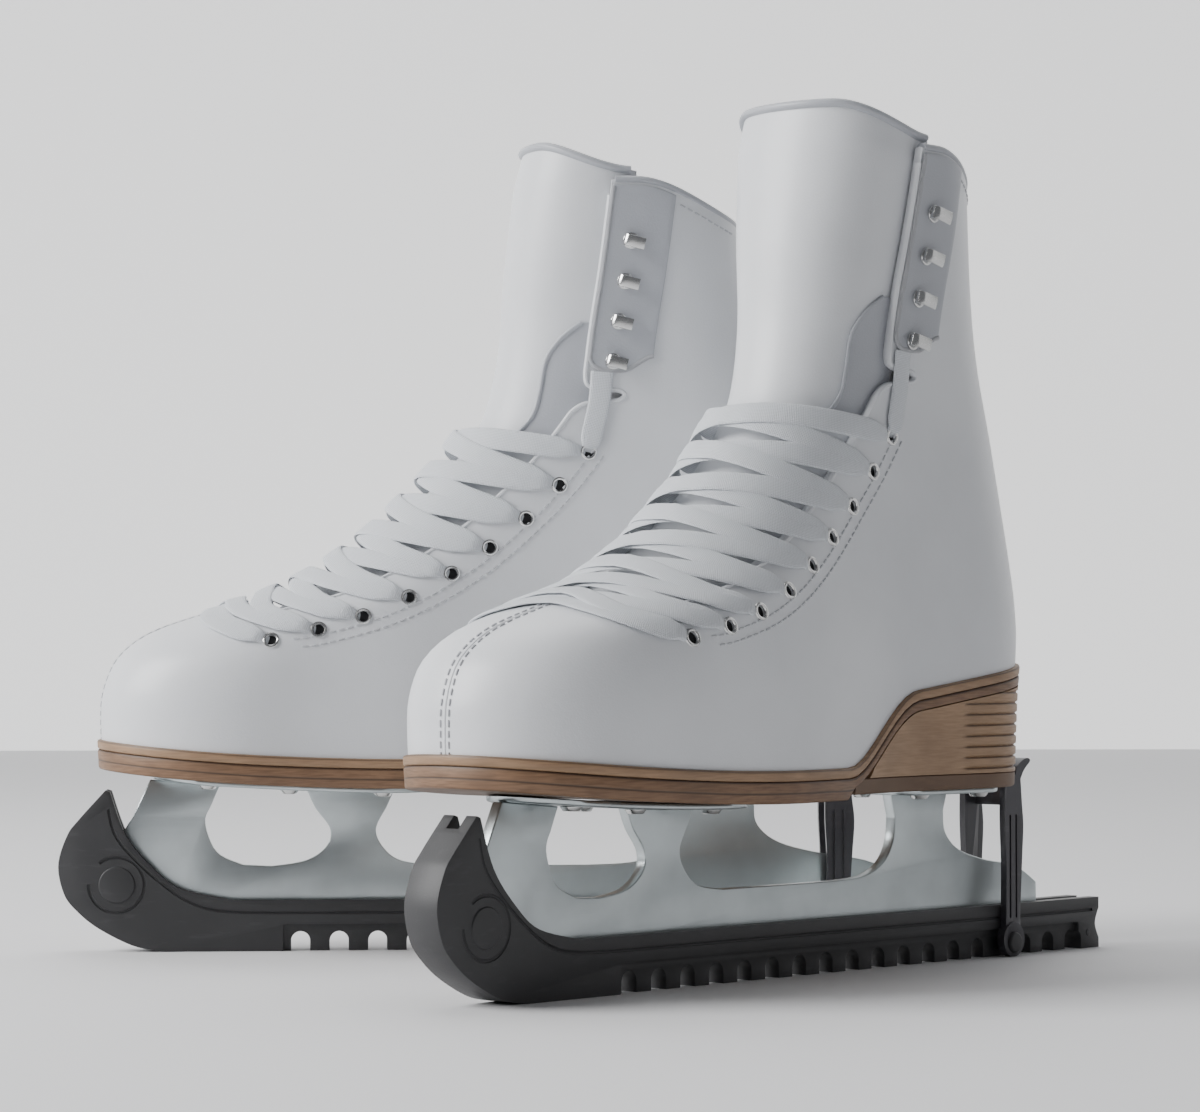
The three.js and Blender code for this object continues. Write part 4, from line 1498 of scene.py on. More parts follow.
@dataclass
class Lacing:
    """The flat lace, crossed from eyelet to eyelet, and its tucked ends."""

    form: BootForm
    throat: Throat
    half: float = 3.8
    thick: float = 0.55
    lift: float = 0.9

    def bar(self, start: tuple, end: tuple, side: int, over: float) -> bpy.types.Object:
        """One length of lace from an eyelet over the tongue to the one opposite.

        Args:
            start: The first eyelet, seen from the side.
            end: The second eyelet.
            side: The side that the first is on.
            over: How far it rises to pass over the other lace.

        Returns:
            The length of lace.
        """
        steps = 44
        path, ups, widths = [], [], []
        for k in range(steps + 1):
            t = (1 - math.cos(math.pi * k / steps)) / 2
            ridge = math.sin(math.pi * t)
            here = side if t < 0.5 else -side
            z = mix(start[1], end[1], t) + 10.5 * ridge
            x = mix(mix(start[0], end[0], t), float(self.form.front(z)) - 0.05, ridge)
            out = self.form.outward(min(x, float(self.form.front(z)) - 1.5), z, here)
            if abs(t - 0.5) < 1e-6:
                out.y = 0
            near = min(t, 1 - t)
            height = mix(-2.4, self.lift, float(smooth(0, 0.032, near)))
            height += over * float(smooth(0.16, 0.5, near))
            path.append(self.form.skin(x, z, here) + out.normalized() * height)
            ups.append(out.normalized())
            widths.append(mix(0.5, 1, float(smooth(0.015, 0.075, near))))
        return self.ribbon(path, ups, widths)

    def ribbon(
        self, path: list[Vector], ups: list[Vector], widths: list[float]
    ) -> bpy.types.Object:
        """A flat lace along a path, gathered where its width is less than 1.

        Args:
            path: The points of the path.
            ups: The outward direction at each.
            widths: The share of the full width at each.

        Returns:
            The lace.
        """
        loops, weave, gone = [], [], 0.0
        section = oval(self.half, self.thick, 14, 3)
        for i, point in enumerate(path):
            ahead = path[min(i + 1, len(path) - 1)] - path[max(i - 1, 0)]
            gone += (point - path[i - 1]).length if i else 0
            side = ahead.cross(ups[i]).normalized()
            up = side.cross(ahead).normalized()
            wide = widths[i]
            ring = [point + side * a * wide + up * b * (1 + (1 - wide) * 0.8) for a, b in section]
            loops.append(np.array([*ring, ring[0]]))
            weave += [(gone, a, 0) for a, _ in [*section, section[0]]]
        piece = Bench.sheet("lace", np.stack(loops))
        mark = piece.data.attributes.new("weave", "FLOAT_VECTOR", "POINT")
        mark.data.foreach_set("vector", np.array(weave, np.float32).reshape(-1))
        Bench.edit(
            piece,
            lambda: bpy.ops.mesh.remove_doubles(threshold=0.002),
            lambda: bpy.ops.mesh.fill_holes(sides=0),
            lambda: bpy.ops.mesh.normals_make_consistent(inside=False),
        )
        Bench.smooth(piece, 60)
        return piece

    def tail(self, places: Points, side: int) -> bpy.types.Object:
        """An end of the lace, from the top eyelet up under the hook strip.

        Args:
            places: The x and z places that it passes.
            side: 1 for the outer side of the foot, -1 for the inner.

        Returns:
            The length of lace.
        """
        places = spline(places, 20)
        heights = [mix(-2.2, 0.9, float(smooth(0, 3, k))) for k in range(len(places))]
        ups = [self.form.outward(x, z, side) for x, z in places]
        path = [
            self.form.skin(x, z, side) + up * h for (x, z), up, h in zip(places, ups, heights)
        ]
        widths = [mix(0.5, 1, float(smooth(0, 5, k))) for k in range(len(path))]
        return self.ribbon(path, ups, widths)

    def lace(self) -> bpy.types.Object:
        """The whole lace of one skate."""
        holes = self.throat.eyelets
        parts = [self.bar(holes[0], holes[0], 1, 0.0)]
        for i in range(len(holes) - 1):
            first = 1 if i % 2 else -1
            parts.append(self.bar(holes[i], holes[i + 1], first, 0.0))
            parts.append(self.bar(holes[i], holes[i + 1], -first, 1.3))
        for side in (1, -1):
            parts.append(self.tail([(-18, 171.5), (-19.5, 179), (-21.5, 188), (-22.5, 199)], side))
        return Bench.join("lace", parts)


# ------------------------------------------------------------------ sole, heel and blade
@dataclass
class Bottom:
    """Welt, outsole, stacked heel, blade, plates and screws."""

    form: BootForm
    gap: float = 0.3
    proud: float = 1.5
    welt_thick: float = 3
    heel_base: float = 58.5
    heel_lift: float = 5
    heel_front: float = -2
    plate: float = 2
    blade_edge: float = 8.8
    blade_top: float = 29
    blade_tail: float = -130
    blade_thick: float = 4
    front_screws: tuple = ((112, 11), (52, -13), (52, 13), (112, -11), (84, 11), (84, -11))
    heel_screws: tuple = ((-52, 12), (-84, -12), (-52, -12), (-84, 12))

    def welt(self) -> bpy.types.Object:
        """The light strip between the upper and the outsole."""
        high = self.form.above(-0.05)
        low = self.form.above(-self.gap - self.welt_thick)
        return Bench.lofted("welt", loops_between(self.form, low, high, self.proud, 80, 0.7))

    def under_sole(self, x: np.ndarray) -> np.ndarray:
        """Height of the outsole's underside."""
        x = np.asarray(x, float)
        over_heel = self.form.feather(x) - self.welt_thick - 2 * self.gap - 3
        sole = self.form.sole(x)
        return np.where(x > self.heel_front + 14, sole, np.maximum(sole, over_heel))

    def outsole(self) -> bpy.types.Object:
        """The leather outsole, from the toe up over the heel."""
        high = self.form.above(-self.welt_thick - 1.2 * self.gap)
        return Bench.lofted(
            "outsole", loops_between(self.form, self.under_sole, high, self.proud, 90, 0.7)
        )

    def heel_loop(self, height: Callable, outset: Callable, front: float) -> np.ndarray:
        """A loop round the heel, flat across its front.

        Args:
            height: Gives the loop's height at each x.
            outset: How far it stands out from the upper's line.
            front: The x of its flat front.

        Returns:
            The points, in order.
        """
        x0, _ = self.form.ends(height, float(-outset(-99.0, 75.0)))
        t = np.linspace(0, 1, 46)
        xs = mix(x0, front, 1 - np.cos(t * math.pi / 2))
        outer, inner = [], []
        for x in xs:
            z = float(height(x))
            inset = -outset(float(x), z)
            half = float(self.form.half_width(x, z, inset)) if x > xs[0] else 0.0
            outer.append((x, half, z))
            inner.append((x, -half, z))
        return np.array([*outer, *inner[::-1]])

    def heel(self) -> bpy.types.Object:
        """The stacked leather heel; its rear part has shallow level grooves."""
        top = self.form.above(-self.welt_thick - 3 * self.gap - 2.9)
        low = self.heel_base + self.heel_lift + 0.05

        def outset(x: float, z: float) -> float:
            """How far the heel stands out from the upper's line."""
            groove = max(0.0, 1 - abs((z - low) % 3.5 - 1.75) / 0.6)
            return self.proud - 0.05 - 0.85 * groove * float(smooth(50, 54, -x))

        loops = []
        for t in np.linspace(0, 1, 110):
            front = self.heel_front + 4 - 3 * t
            loops.append(self.heel_loop(lambda x, t=t: mix(low, top(x), t), outset, front))
        return Bench.lofted("heel_stack", loops, 30)

    def lift(self) -> bpy.types.Object:
        """The heel's bottom layer."""
        loops = []
        for z, edge in ((0, 0.7), (0.35, 0.2), (0.8, 0), (self.heel_lift - 0.4, 0), (4.9, 0.35)):
            loops.append(self.heel_loop(
                lambda x, z=z: self.heel_base + z + 0 * x,
                lambda x, z, e=edge: self.proud - 0.15 - e,
                self.heel_front + 13 - edge,
            ))
        return Bench.lofted("heel_lift", loops, 40)

    def plate_z(self, x: float) -> float:
        """Height of the front plate's underside."""
        return float(self.form.sole(x)) - self.gap - self.plate

    def blade(self) -> bpy.types.Object:
        """The runner with its three stanchions, cut from one plate."""
        def top(x: float) -> float:
            """Height of a front stanchion's top, just under its plate."""
            return self.plate_z(x) - 0.1

        heel_top = self.heel_base - self.gap - self.plate - 0.1
        e, t, end = self.blade_edge, self.blade_top, self.blade_tail
        points = [
            (end + 4, e), (112, e), *spline([(112, e), (132, 10.6), (146, 17), (152, 27)], 12)[1:],
            (149.5, 33), (143, 38), (138, 46), (132, top(132)), (108, top(108)),
            *spline([(111, 50), (113, 44), (109, 34), (100, t + 0.5)], 18),
            *spline([(90, t), (78, 31), (71, 36), (70, 42), (75, 49), (78, top(78))], 24),
            (48, top(48)),
            *spline([(50.5, 49), (54, 42), (52, 36), (46, 31), (34, t)], 22),
            *spline([(-20, t), (-36, 30), (-46, 34), (-51, 41), (-52, 49)], 22),
            (-50, heel_top), (-80, heel_top),
            *spline([(-78, 50), (-79, 43), (-86, 37), (-100, 33), (-118, 30), (end, 24)], 24),
            (end, e + 4),
        ]
        half = self.blade_thick / 2
        piece = Bench.profile("blade", points, -half, half)
        Bench.modify(piece, "BEVEL", width=0.45, segments=3, limit_method="ANGLE",
                     angle_limit=math.radians(60))
        Bench.smooth(piece, 35)
        return piece

    def front_plate(self) -> bpy.types.Object:
        """The plate screwed under the ball of the foot."""
        rim = spline([
            (28, 0), (40, 17), (60, 20), (90, 16), (116, 18), (131, 0), (116, -18), (90, -16),
            (60, -20), (40, -17), (28, 0),
        ], 72)
        return self.plate_solid("front_plate", rim, (80, 0), self.plate_z)

    def heel_plate(self) -> bpy.types.Object:
        """The plate screwed under the heel."""
        rim = box_outline(-94, -17, -42, 17, 9, 7)
        base = self.heel_base - self.gap - self.plate
        return self.plate_solid("heel_plate", [*rim, rim[0]], (-68, 0), lambda x: base)

    def plate_solid(
        self, name: str, rim: Points, centre: tuple, under: Callable
    ) -> bpy.types.Object:
        """A plate with this rim and rounded edges, on a curved underside.

        Args:
            name: The piece's name.
            rim: The rim's x and y places.
            centre: Where the rim shrinks towards.
            under: Gives the underside's height at each x.

        Returns:
            The plate.
        """
        loops = []
        for shrink, rise in ((0.5, 0), (0.965, 0), (0.99, 0.2), (1, 0.6), (1, 1.6), (0.98, 1.95),
                             (0.5, 1.95)):
            loop = []
            for x, y in rim:
                px = centre[0] + (x - centre[0]) * shrink
                loop.append((px, centre[1] + (y - centre[1]) * shrink, under(px) + rise))
            loops.append(np.array(loop))
        return Bench.lofted(name, loops, 50)

    def screws(self) -> bpy.types.Object:
        """Cross-headed screws through both plates, heads downwards."""
        head = Bench.cylinder("screw", Vector((0, 0, 0)), Vector((0, 0, 1.5)), 3.5, 28, 2.5)
        Bench.modify(head, "BEVEL", width=0.3, segments=3, limit_method="ANGLE")
        bars = []
        for turn in (0, math.pi / 2):
            bar = Bench.profile("bar", box_outline(-1.9, 0.7, 1.9, 2.5, 0.1, 1), -0.4, 0.4)
            bar.data.transform(Matrix.Rotation(turn, 4, "Z"))
            bars.append(bar)
        Bench.cut(head, *bars)
        Bench.smooth(head, 35)
        places = []
        for spots, under in ((self.front_screws, self.plate_z),
                             (self.heel_screws, lambda x: self.heel_base - 2.3)):
            for i, (x, y) in enumerate(spots):
                spin = Vector((math.cos(i * 0.9), math.sin(i * 0.9), 0))
                places.append(facing(Vector((x, y, under(x) + 0.05)), Vector((0, 0, -1)), spin))
        return Bench.copies("sole_screws", head, places)


# ------------------------------------------------------------------ guard and strap
@dataclass
class Guard:
    """The moulded blade guard: nose cup, slotted channel and notched comb."""

    nose_x: float = 163
    tail_x: float = -160
    top_z: float = 17.5
    floor_z: float = 8.3
    half: float = 6.8
    comb_half: float = 4.6
    step_z: float = 9.4
    slot_half: float = 2.5
    notches: int = 18
    notch_first: float = 80
    notch_pitch: float = 13.3
    notch_half: float = 3.3
    notch_top: float = 6.7
    strap_notch: int = 14

    @property
    def pin_x(self) -> float:
        """Where the strap's pin crosses the guard."""
        return self.notch_first - self.strap_notch * self.notch_pitch

    def outline(self) -> Points:
        """The guard seen from the side."""
        n = self.nose_x
        nose = spline([
            (n - 37, 0), (n - 26, 2), (n - 14, 8), (n - 6.5, 14), (n - 2, 20), (n, 30), (n - 3, 40),
            (n - 7, 45.5), (n - 16, 55.5),
        ], 44)
        brow = spline([
            (n - 17.5, 55), (n - 23, 40), (n - 32, 29), (n - 42, 21.5), (n - 60, self.top_z),
        ], 24)
        tail = [(self.tail_x, self.top_z), (self.tail_x, 0)]
        return [*nose, *brow, *tail]

    def body(self) -> bpy.types.Object:
        """The whole moulding."""
        piece = Bench.profile("guard", self.outline(), -self.half, self.half)
        gap, end = self.half - self.comb_half, self.notch_first + 6
        for side in (1, -1):
            low = self.comb_half if side > 0 else -self.half - 1
            waist = box_outline(self.tail_x + 12, -2, end, self.step_z, 1.2, 4)
            Bench.cut(piece, Bench.profile("waist", waist, low, low + gap + 1))
        n = self.nose_x
        floor = spline([
            (n - 50, self.floor_z), (n - 30, 9.8), (n - 15, 16.5), (n - 8, 26), (n - 8, 38),
            (n - 15, 58),
        ], 24)
        slot = [(self.tail_x - 5, self.floor_z), *floor, (n - 20, 70), (self.tail_x - 5, 70)]
        Bench.cut(piece, Bench.profile("slot", slot, -self.slot_half, self.slot_half))
        arches = []
        for i in range(self.notches):
            if i != self.strap_notch:
                x, r = self.notch_first - i * self.notch_pitch, self.notch_half
                arch = [(x - r, -2), (x + r, -2)]
                for k in range(13):
                    turn = math.pi * k / 12
                    arch.append((x + r * math.cos(turn), self.notch_top - r + r * math.sin(turn)))
                arches.append(Bench.profile("notch", arch, -20, 20))
        Bench.cut(piece, *arches)
        tail_end = [(self.tail_x - 6, 14), (self.tail_x - 6, 3)]
        lip, deepest = self.tail_x - 0.1, self.tail_x + 2.2
        bite = spline([(lip, 3), (deepest, 8.5), (lip, 14)], 12)
        Bench.cut(piece, Bench.profile("bite", [*tail_end, *bite], -20, 20))
        Bench.modify(piece, "BEVEL", width=0.55, segments=2, limit_method="ANGLE",
                     angle_limit=math.radians(50))
        Bench.cut(piece, *self.grooves())
        Bench.smooth(piece, 35)
        return piece

    def grooves(self) -> list[bpy.types.Object]:
        """Cutters for the line down each side, from the cup's tip along the channel."""
        n = self.nose_x
        line = spline([
            (n - 17, 49), (n - 19, 41), (n - 24, 34), (n - 34, 24.5), (n - 46, 16.5),
            (n - 60, 13.6), (n - 90, 13.2),
        ], 40) + [(float(x), 13.2) for x in np.linspace(60, self.tail_x + 4, 20)]
        made = []
        for side in (1, -1):
            path = [Vector((x, side * self.half, z)) for x, z in line]
            made.append(Bench.swept("groove", path, [Vector((0, side, 0))] * len(path),
                                    oval(0.55, 0.6, 8)))
            ring = []
            for k in range(49):
                turn = 2 * math.pi * k / 48 * 0.86 + 0.9
                ring.append(Vector((n - 20 + 9.5 * math.cos(turn), side * self.half,
                                    23 + 9.5 * math.sin(turn))))
            made.append(Bench.swept("curl", ring, [Vector((0, side, 0))] * len(ring),
                                    oval(0.6, 0.55, 8)))
        return made

    def bosses(self) -> bpy.types.Object:
        """The shallow round boss on each side of the nose and the small mark at the tail."""
        parts = []
        for side in (1, -1):
            for x, z, r, h in (
                (self.nose_x - 20, 23, 6.5, 0.45),
                (self.tail_x + 6.5, 5.4, 1.5, 0.3),
            ):
                boss = Bench.cylinder("boss", Vector((x, side * (self.half - 0.3), z)),
                                      Vector((x, side * (self.half + h), z)), r, 40, r - 0.5)
                Bench.modify(boss, "BEVEL", width=0.15, segments=2, limit_method="ANGLE")
                parts.append(boss)
        made = Bench.join("guard_bosses", parts)
        Bench.smooth(made, 40)
        return made


@dataclass
class Strap:
    """The flexible stirrup that holds the guard on, and its pin."""

    guard: Guard
    wall: float = 2.4
    top_z: float = 62
    pin_z: float = 4.2
    leg_half: float = 4
    disc: float = 5.8

    def strap(self) -> bpy.types.Object:
        """Two legs, the cross web between their tops and the pull lip."""
        inner = self.guard.half + 0.5
        outer = inner + self.wall
        x = self.guard.pin_x
        parts = []
        for side in (1, -1):
            low = inner if side > 0 else -outer
            leg = spline([
                (x - 4, self.pin_z), (x - 4.2, 16), (x - 5.2, 32), (x - 6, 44), (x - 5.2, 52),
                (x - 4.4, self.top_z - 1),
            ], 18)[::-1] + spline([
                (x + 4, self.pin_z), (x + 3.7, 16), (x + 3.6, 32), (x + 4.2, 44), (x + 4.2, 52),
                (x + 3.8, self.top_z - 3), (x + 1.5, self.top_z),
            ], 18)
            parts.append(Bench.profile("leg", leg, low, low + self.wall))
            y0, y1 = (inner, outer + 0.5) if side > 0 else (-inner, -outer - 0.5)
            parts.append(Bench.cylinder("disc", Vector((x, y0, self.pin_z + 1.6)),
                                        Vector((x, y1, self.pin_z + 1.6)), self.disc, 40))
        back = x - self.leg_half
        web = box_outline(back, self.top_z - 11, back + 2.4, self.top_z - 0.5, 0.8, 3)
        parts.append(Bench.profile("web", web, -outer, outer))
        lip = spline([
            (back + 2.2, self.top_z - 3), (back + 1.6, self.top_z + 2),
            (back - 3.4, self.top_z + 4.9), (back - 6, self.top_z + 4),
            (back - 2.5, self.top_z + 1), (back + 0.1, self.top_z - 3),
        ], 20)
        parts.append(Bench.profile("lip", lip, -outer, outer))
        whole = parts[0]
        for other in parts[1:]:
            Bench.modify(whole, "BOOLEAN", operation="UNION", solver="EXACT", object=other)
            bpy.data.objects.remove(other, do_unlink=True)
        for side in (1, -1):
            for off in (-1.9, 1.4):
                rib = box_outline(x + off - 0.45, 13, x + off + 0.45, self.top_z - 14, 0.4, 3)
                face = side * (outer + 0.1)
                cutter = Bench.profile("rib", rib, min(face, face - side), max(face, face - side))
                Bench.cut(whole, cutter)
        Bench.modify(whole, "BEVEL", width=0.5, segments=3, limit_method="ANGLE",
                     angle_limit=math.radians(45))
        whole.name = "strap"
        Bench.smooth(whole, 40)
        return whole

    def pin(self) -> bpy.types.Object:
        """The pin through the guard, with a domed head over each disc."""
        y = self.guard.half + 0.5 + self.wall
        x, z = self.guard.pin_x, self.pin_z
        parts = [Bench.cylinder("shank", Vector((x, -y - 1, z)), Vector((x, y + 1, z)), 2.2, 24)]
        for side in (1, -1):
            head = Bench.cylinder("head", Vector((x, side * (y + 0.45), z + 0.6)),
                                  Vector((x, side * (y + 1.7), z + 0.6)), 3.7, 32, 3.1)
            Bench.modify(head, "BEVEL", width=0.4, segments=3, limit_method="ANGLE")
            parts.append(head)
        made = Bench.join("strap_pin", parts)
        Bench.smooth(made, 40)
        return made


# ------------------------------------------------------------------ putting the skates together
FINISHES = {
    "white_leather": Leather((0.76, 0.775, 0.80), 0.38, 0.05),
    "tongue_leather": Leather((0.77, 0.785, 0.81), 0.42, 0.04),
    "grey_leather": Leather((0.45, 0.465, 0.50), 0.36, 0.06),
    "thread": Woven((0.60, 0.61, 0.64), 0.25),
    "lining": Napped((0.55, 0.55, 0.56)),
    "footbed": Napped((0.34, 0.33, 0.32)),
    "lace": Woven((0.80, 0.83, 0.87)),
    "welt": Stacked((0.38, 0.235, 0.135), (0.28, 0.17, 0.095), 3.3, 0.8, -3.5),
    "outsole": Stacked((0.25, 0.14, 0.075), (0.16, 0.085, 0.044), 3.3, 0.95, -3.4),
    "heel": Stacked((0.40, 0.25, 0.145), (0.31, 0.19, 0.105), 3.5, 0.9, 65.3, True, -52),
    "heel_rubber": Moulded((0.13, 0.078, 0.046), 0.6, 0.08),
    "shadow": Moulded((0.012, 0.012, 0.014), 0.7, 0.02),
    "blade_steel": Steel((0.58, 0.63, 0.64), 0.27, 0.02),
    "bright_metal": Steel((0.80, 0.80, 0.79), 0.17, 0.01),
    "guard_plastic": Moulded((0.036, 0.036, 0.038), 0.5, 0.06),
    "strap_plastic": Moulded((0.05, 0.048, 0.056), 0.33, 0.03, 0.15),
}


@dataclass(frozen=True)
class Part:
    """How a kind of piece is finished, carried and stood in for.

    Args:
        slot: The record's material slot, which also names its finish.
        body: The body that it moves with.
        replaces: The ends of the names of the CAD nodes that it stands for.
        finish: The finish, where it isn't the slot's.
        fill: How full it is, if it is padded; not used.
        bends: Whether it is meant to bend at the tongue's hinge; such a piece is not bent, only
            baked in place and handed to no body.
    """

    slot: str
    body: Body = Body.SKATES
    replaces: tuple = ()
    finish: str = ""
    fill: float | None = None
    bends: bool = False


HOOK_NODES = tuple(f"hook_{face}_{i}" for face in ("outer", "inner") for i in range(1, 5))
SCREW_NODES = tuple(f"{plate}_screw_{i}" for plate in ("front", "heel") for i in (1, 2))
PARTS = {
    "boot_upper": Part("white_leather", replaces=("boot_upper",)),
    "facing_edges": Part("white_leather"),
    "toe_seam": Part("white_leather"),
    "stitching": Part("white_leather", finish="thread"),
    "cuff_piping": Part("grey_leather"),
    "eyelets": Part("bright_metal"),
    # painted shade: near-black discs inside the eyelet holes
    "eyelet_barrels": Part("bright_metal", finish="shadow"),
    "hook_strips": Part("grey_leather", replaces=("hook_strip_outer", "hook_strip_inner")),
    "strip_trim": Part("grey_leather", finish="thread"),
    "lace_hooks": Part("bright_metal", replaces=HOOK_NODES),
    "tongue": Part("tongue_leather", replaces=("tongue_base", "tongue_flap"), fill=0.8, bends=True),
    "tongue_side_panels": Part("grey_leather", bends=True),
    "tongue_piping": Part("grey_leather", Body.TONGUE),
    "collar_lining": Part("lining", replaces=("collar_lining",), fill=0.7),
    "footbed": Part("footbed", replaces=("footbed",)),
    "lace": Part("lace", replaces=("lace",)),
    "welt": Part("welt", replaces=("welt",)),
    "outsole": Part("outsole", replaces=("outsole",)),
    "heel_stack": Part("heel", replaces=("heel_stack",)),
    "heel_lift": Part("heel_rubber", replaces=("heel_lift",)),
    "blade": Part("blade_steel", replaces=("blade",)),
    "front_plate": Part("blade_steel", replaces=("front_plate",)),
    "heel_plate": Part("blade_steel", replaces=("heel_plate",)),
    "sole_screws": Part("bright_metal", replaces=SCREW_NODES),
    "guard": Part("guard_plastic", replaces=("guard",)),
    "guard_bosses": Part("guard_plastic"),
    "strap": Part("strap_plastic", Body.STRAP, ("strap",)),
    "strap_pin": Part("guard_plastic", replaces=("strap_pin",)),
}


@dataclass(frozen=True)
class Stance:
    """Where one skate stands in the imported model's frame.

    Args:
        side: Which foot it is for.
        ahead: The direction of its toe.
        origin: Its own frame's origin.
    """

    side: Side
    ahead: Vector
    origin: Vector

    @classmethod
    def found(cls, side: Side, joints: list[dict], strap: Vector, hinge: Vector) -> "Stance":
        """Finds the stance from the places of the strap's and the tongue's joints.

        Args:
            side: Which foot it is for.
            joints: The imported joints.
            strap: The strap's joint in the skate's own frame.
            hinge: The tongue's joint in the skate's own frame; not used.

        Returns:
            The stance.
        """
        at = {joint["name"]: Vector(joint["pos_m"]) for joint in joints}
        low, high = at[f"{side.word}_strap"], at[f"{side.word}_tongue"]
        ahead = Vector((high.x - low.x, high.y - low.y, 0)).normalized()
        origin = low - ahead * strap.x * MM - Vector((0, 0, strap.z * MM))
        return cls(side, ahead, origin)

    @property
    def matrix(self) -> Matrix:
        """From the skate's own frame, in millimetres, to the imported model's, in metres."""
        up = Vector((0, 0, 1))
        outer = up.cross(self.ahead) * self.side.value
        turn = Matrix((self.ahead, outer, up)).transposed().to_4x4()
        return Matrix.Translation(self.origin) @ turn @ Matrix.Scale(MM, 4)

    def place(self, x: float, y: float, z: float) -> Vector:
        """A point of the skate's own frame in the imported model's."""
        return self.matrix @ Vector((x, y, z))


@dataclass
class Skate:
    """Everything that is the same on both skates, modelled once."""

    form: BootForm = field(default_factory=BootForm)
    throat: Throat = field(default_factory=Throat)
    guard: Guard = field(default_factory=Guard)
    hinge_x: float = 17
    bend_start: float = 185
    bend_end: float = 199

    def makers(self) -> dict[str, Callable[[], bpy.types.Object]]:
        """What makes each piece, in order."""
        upper = Upper(self.form, self.throat)
        inside = Inside(self.form, self.throat)
        bottom = Bottom(self.form)
        strap = Strap(self.guard)
        return {
            "boot_upper": upper.shell,
            "facing_edges": upper.edge_trims,
            "toe_seam": upper.toe_ridge,
            "stitching": upper.stitching,
            "cuff_piping": upper.cuff_piping,
            "eyelets": upper.eyelets,
            "eyelet_barrels": upper.barrels,
            "hook_strips": upper.strips,
            "strip_trim": upper.strip_trim,
            "lace_hooks": upper.hook_pieces,
            "tongue": inside.tongue,
            "tongue_side_panels": inside.side_panels,
            "tongue_piping": inside.tongue_piping,
            "collar_lining": inside.collar,
            "footbed": inside.footbed,
            "lace": Lacing(self.form, self.throat).lace,
            "welt": bottom.welt,
            "outsole": bottom.outsole,
            "heel_stack": bottom.heel,
            "heel_lift": bottom.lift,
            "blade": bottom.blade,
            "front_plate": bottom.front_plate,
            "heel_plate": bottom.heel_plate,
            "sole_screws": bottom.screws,
            "guard": self.guard.body,
            "guard_bosses": self.guard.bosses,
            "strap": strap.strap,
            "strap_pin": strap.pin,
        }

    def stances(self, joints: list[dict]) -> list[Stance]:
        """Where the two skates stand."""
        strap = Vector((self.guard.pin_x, 0, Strap(self.guard).pin_z))
        hinge = Vector((self.hinge_x, 0, Inside(self.form, self.throat).hinge_z))
        return [Stance.found(side, joints, strap, hinge) for side in Side]

    def build(self, joints: list[dict]) -> None:
        """Models every piece and sets its copy into each skate.

        Args:
            joints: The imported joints.
        """
        paints = {}
        for key, finish in FINISHES.items():
            paint = Paint(key)
            finish.dress(paint)
            paints[key] = paint.material
        stances = self.stances(joints)
        for name, maker in self.makers().items():
            model = maker()
            part = PARTS[name]
            for stance in stances:
                self.set_in(model, name, part, stance, paints[part.finish or part.slot])
            bpy.data.objects.remove(model, do_unlink=True)

    def set_in(
        self,
        model: bpy.types.Object,
        name: str,
        part: Part,
        stance: Stance,
        material: bpy.types.Material,
    ) -> None:
        """Copies a piece into one skate, finishes it and hands it to its body; a piece that bends
        is left unbent and handed to no body.

        Args:
            model: The piece in the skate's own frame.
            name: Its name, without the side.
            part: How it is finished and carried.
            stance: Where the skate stands.
            material: Its finish.
        """
        word = stance.side.word
        piece = bpy.data.objects.new(f"{word}_{name}_looks", model.data.copy())
        bpy.context.scene.collection.objects.link(piece)
        mesh = piece.data
        mesh.name = piece.name
        flat = np.empty(len(mesh.vertices) * 3, np.float32)
        mesh.vertices.foreach_get("co", flat)
        own = flat.reshape(-1, 3)
        layers = own - np.stack([0 * own[:, 0], 0 * own[:, 0], self.form.feather(own[:, 0])], 1)
        for mark, values in (("skate", flat), ("layer", layers.astype(np.float32).reshape(-1))):
            mesh.attributes.new(mark, "FLOAT_VECTOR", "POINT").data.foreach_set("vector", values)
        mesh.transform(stance.matrix)
        if stance.side is Side.RIGHT:
            Bench.edit(piece, lambda: bpy.ops.mesh.flip_normals())
        mesh.materials.clear()
        mesh.materials.append(material)
        for polygon in mesh.polygons:
            polygon.material_index = 0
        still, moving = Body.SKATES.value, f"{word}_{Body.TONGUE.value}"
        if part.bends:
            start = stance.place(self.hinge_x, 0, self.bend_start)
            end = stance.place(self.hinge_x, 0, self.bend_end)
            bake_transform(piece)
        else:
            body = still if part.body is Body.SKATES else f"{word}_{part.body.value}"
            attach(piece, body)
        if part.replaces:
            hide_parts(*[f"{word}_{node}" for node in part.replaces])
        log.info("%s: %d faces, finish %s", piece.name, len(mesh.polygons), material.name)


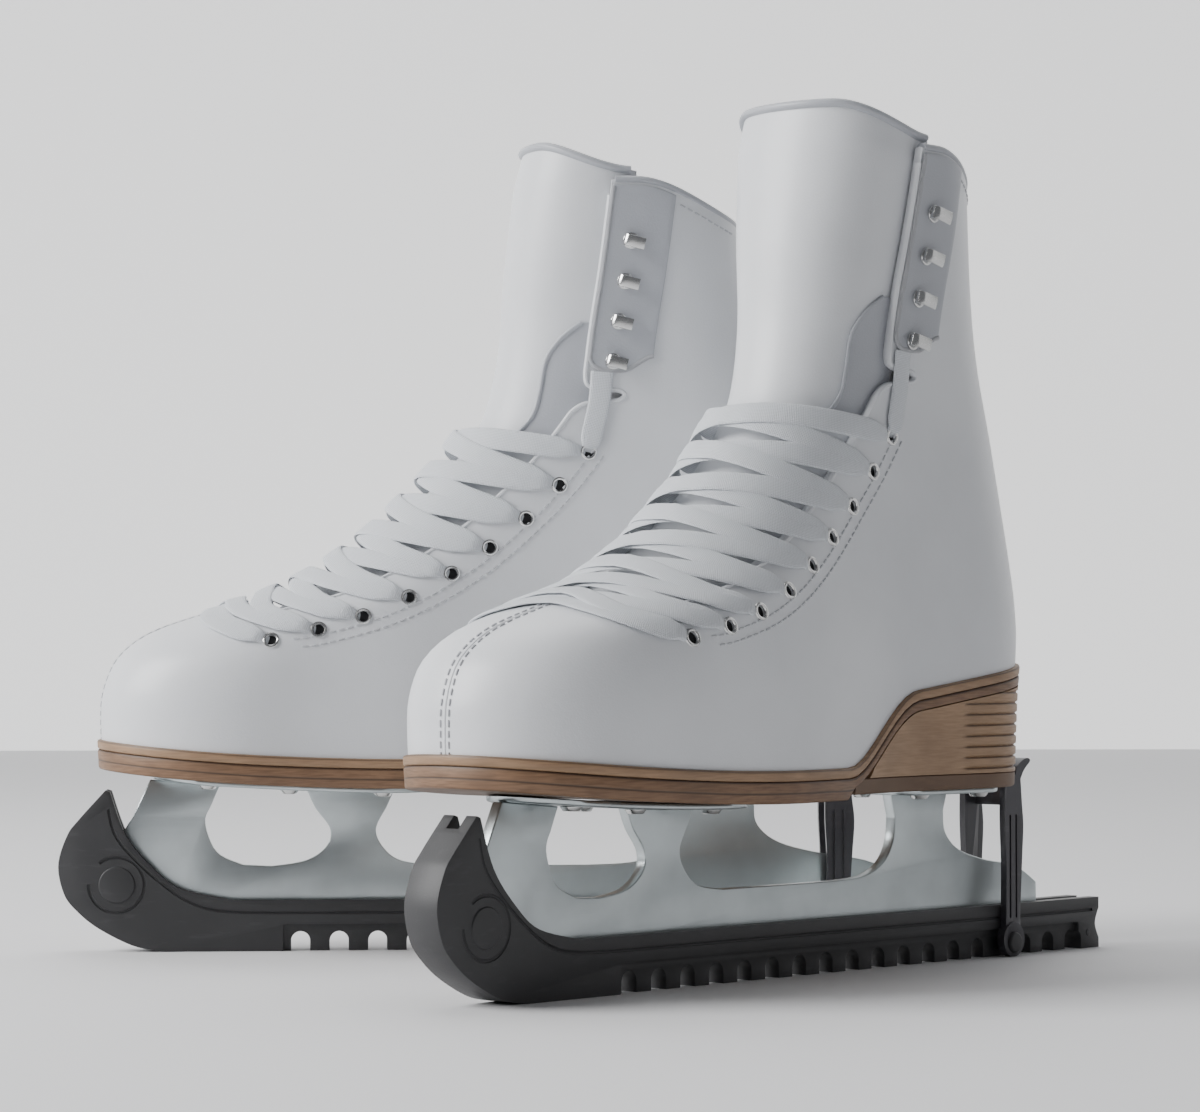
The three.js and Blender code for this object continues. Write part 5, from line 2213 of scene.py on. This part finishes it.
# ------------------------------------------------------------------ the studio
@dataclass
class Studio:
    """A pale floor, soft light and the camera."""

    aim: Vector = field(default_factory=lambda: Vector((-0.004, -0.016, 0.135)))
    eye: Vector = field(default_factory=lambda: Vector((1.078, -0.535, 0.1013)))
    lens: float = 108.0

    def floor(self) -> None:
        """The floor, and a bright backdrop far behind."""
        Bench.clear()
        bpy.ops.mesh.primitive_plane_add(size=12, location=(0, 0, 0))
        floor = Bench.named("studio_floor")
        paint = Paint("studio_floor")
        paint.set(Base_Color=(0.84, 0.84, 0.85), Roughness=0.7)
        floor.data.materials.append(paint.material)
        bpy.ops.mesh.primitive_plane_add(size=14, location=(-2.5, 1.1, 0), rotation=(
            math.radians(90), 0, math.radians(67)))
        backdrop = Bench.named("studio_backdrop")
        glow = Paint("studio_backdrop")
        glow.set(Base_Color=(0.9, 0.9, 0.9), Emission_Color=(1.0, 1.0, 1.0), Emission_Strength=0.8)
        backdrop.data.materials.append(glow.material)

    def light(self) -> None:
        """A large key light, a weaker fill and a pale sky."""
        for name, at, size, power in (
            ("key", Vector((-0.35, -1.75, 1.1)), 1.2, 62.0),
            ("fill", Vector((1.3, 1.6, 0.8)), 1.6, 4.0),
            ("top", Vector((-0.7, 0.1, 2.0)), 1.4, 9.0),
        ):
            lamp = bpy.data.lights.new(name, "AREA")
            lamp.size = size
            lamp.energy = power
            piece = bpy.data.objects.new(name, lamp)
            piece.location = at
            piece.rotation_euler = (self.aim - at).to_track_quat("-Z", "Y").to_euler()
            bpy.context.scene.collection.objects.link(piece)
        world = bpy.context.scene.world or bpy.data.worlds.new("sky")
        bpy.context.scene.world = world
        world.use_nodes = True
        sky = world.node_tree.nodes["Background"]
        sky.inputs["Color"].default_value = (0.93, 0.95, 1.0, 1)
        sky.inputs["Strength"].default_value = 0.15

    def camera(self) -> None:
        """The camera."""
        made = bpy.data.objects.new("camera", bpy.data.cameras.new("camera"))
        made.data.lens = self.lens
        made.data.sensor_width = 36
        made.location = self.eye
        made.rotation_euler = (self.aim - self.eye).to_track_quat("-Z", "Y").to_euler()
        bpy.context.scene.collection.objects.link(made)
        bpy.context.scene.camera = made


def main() -> None:
    """Builds the skates and the studio."""
    logging.basicConfig(level=logging.INFO, format="%(message)s")
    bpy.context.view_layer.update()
    Skate().build(frame["joints"])
    studio = Studio()
    studio.floor()
    studio.light()
    studio.camera()


if __name__ == "__main__":
    main()
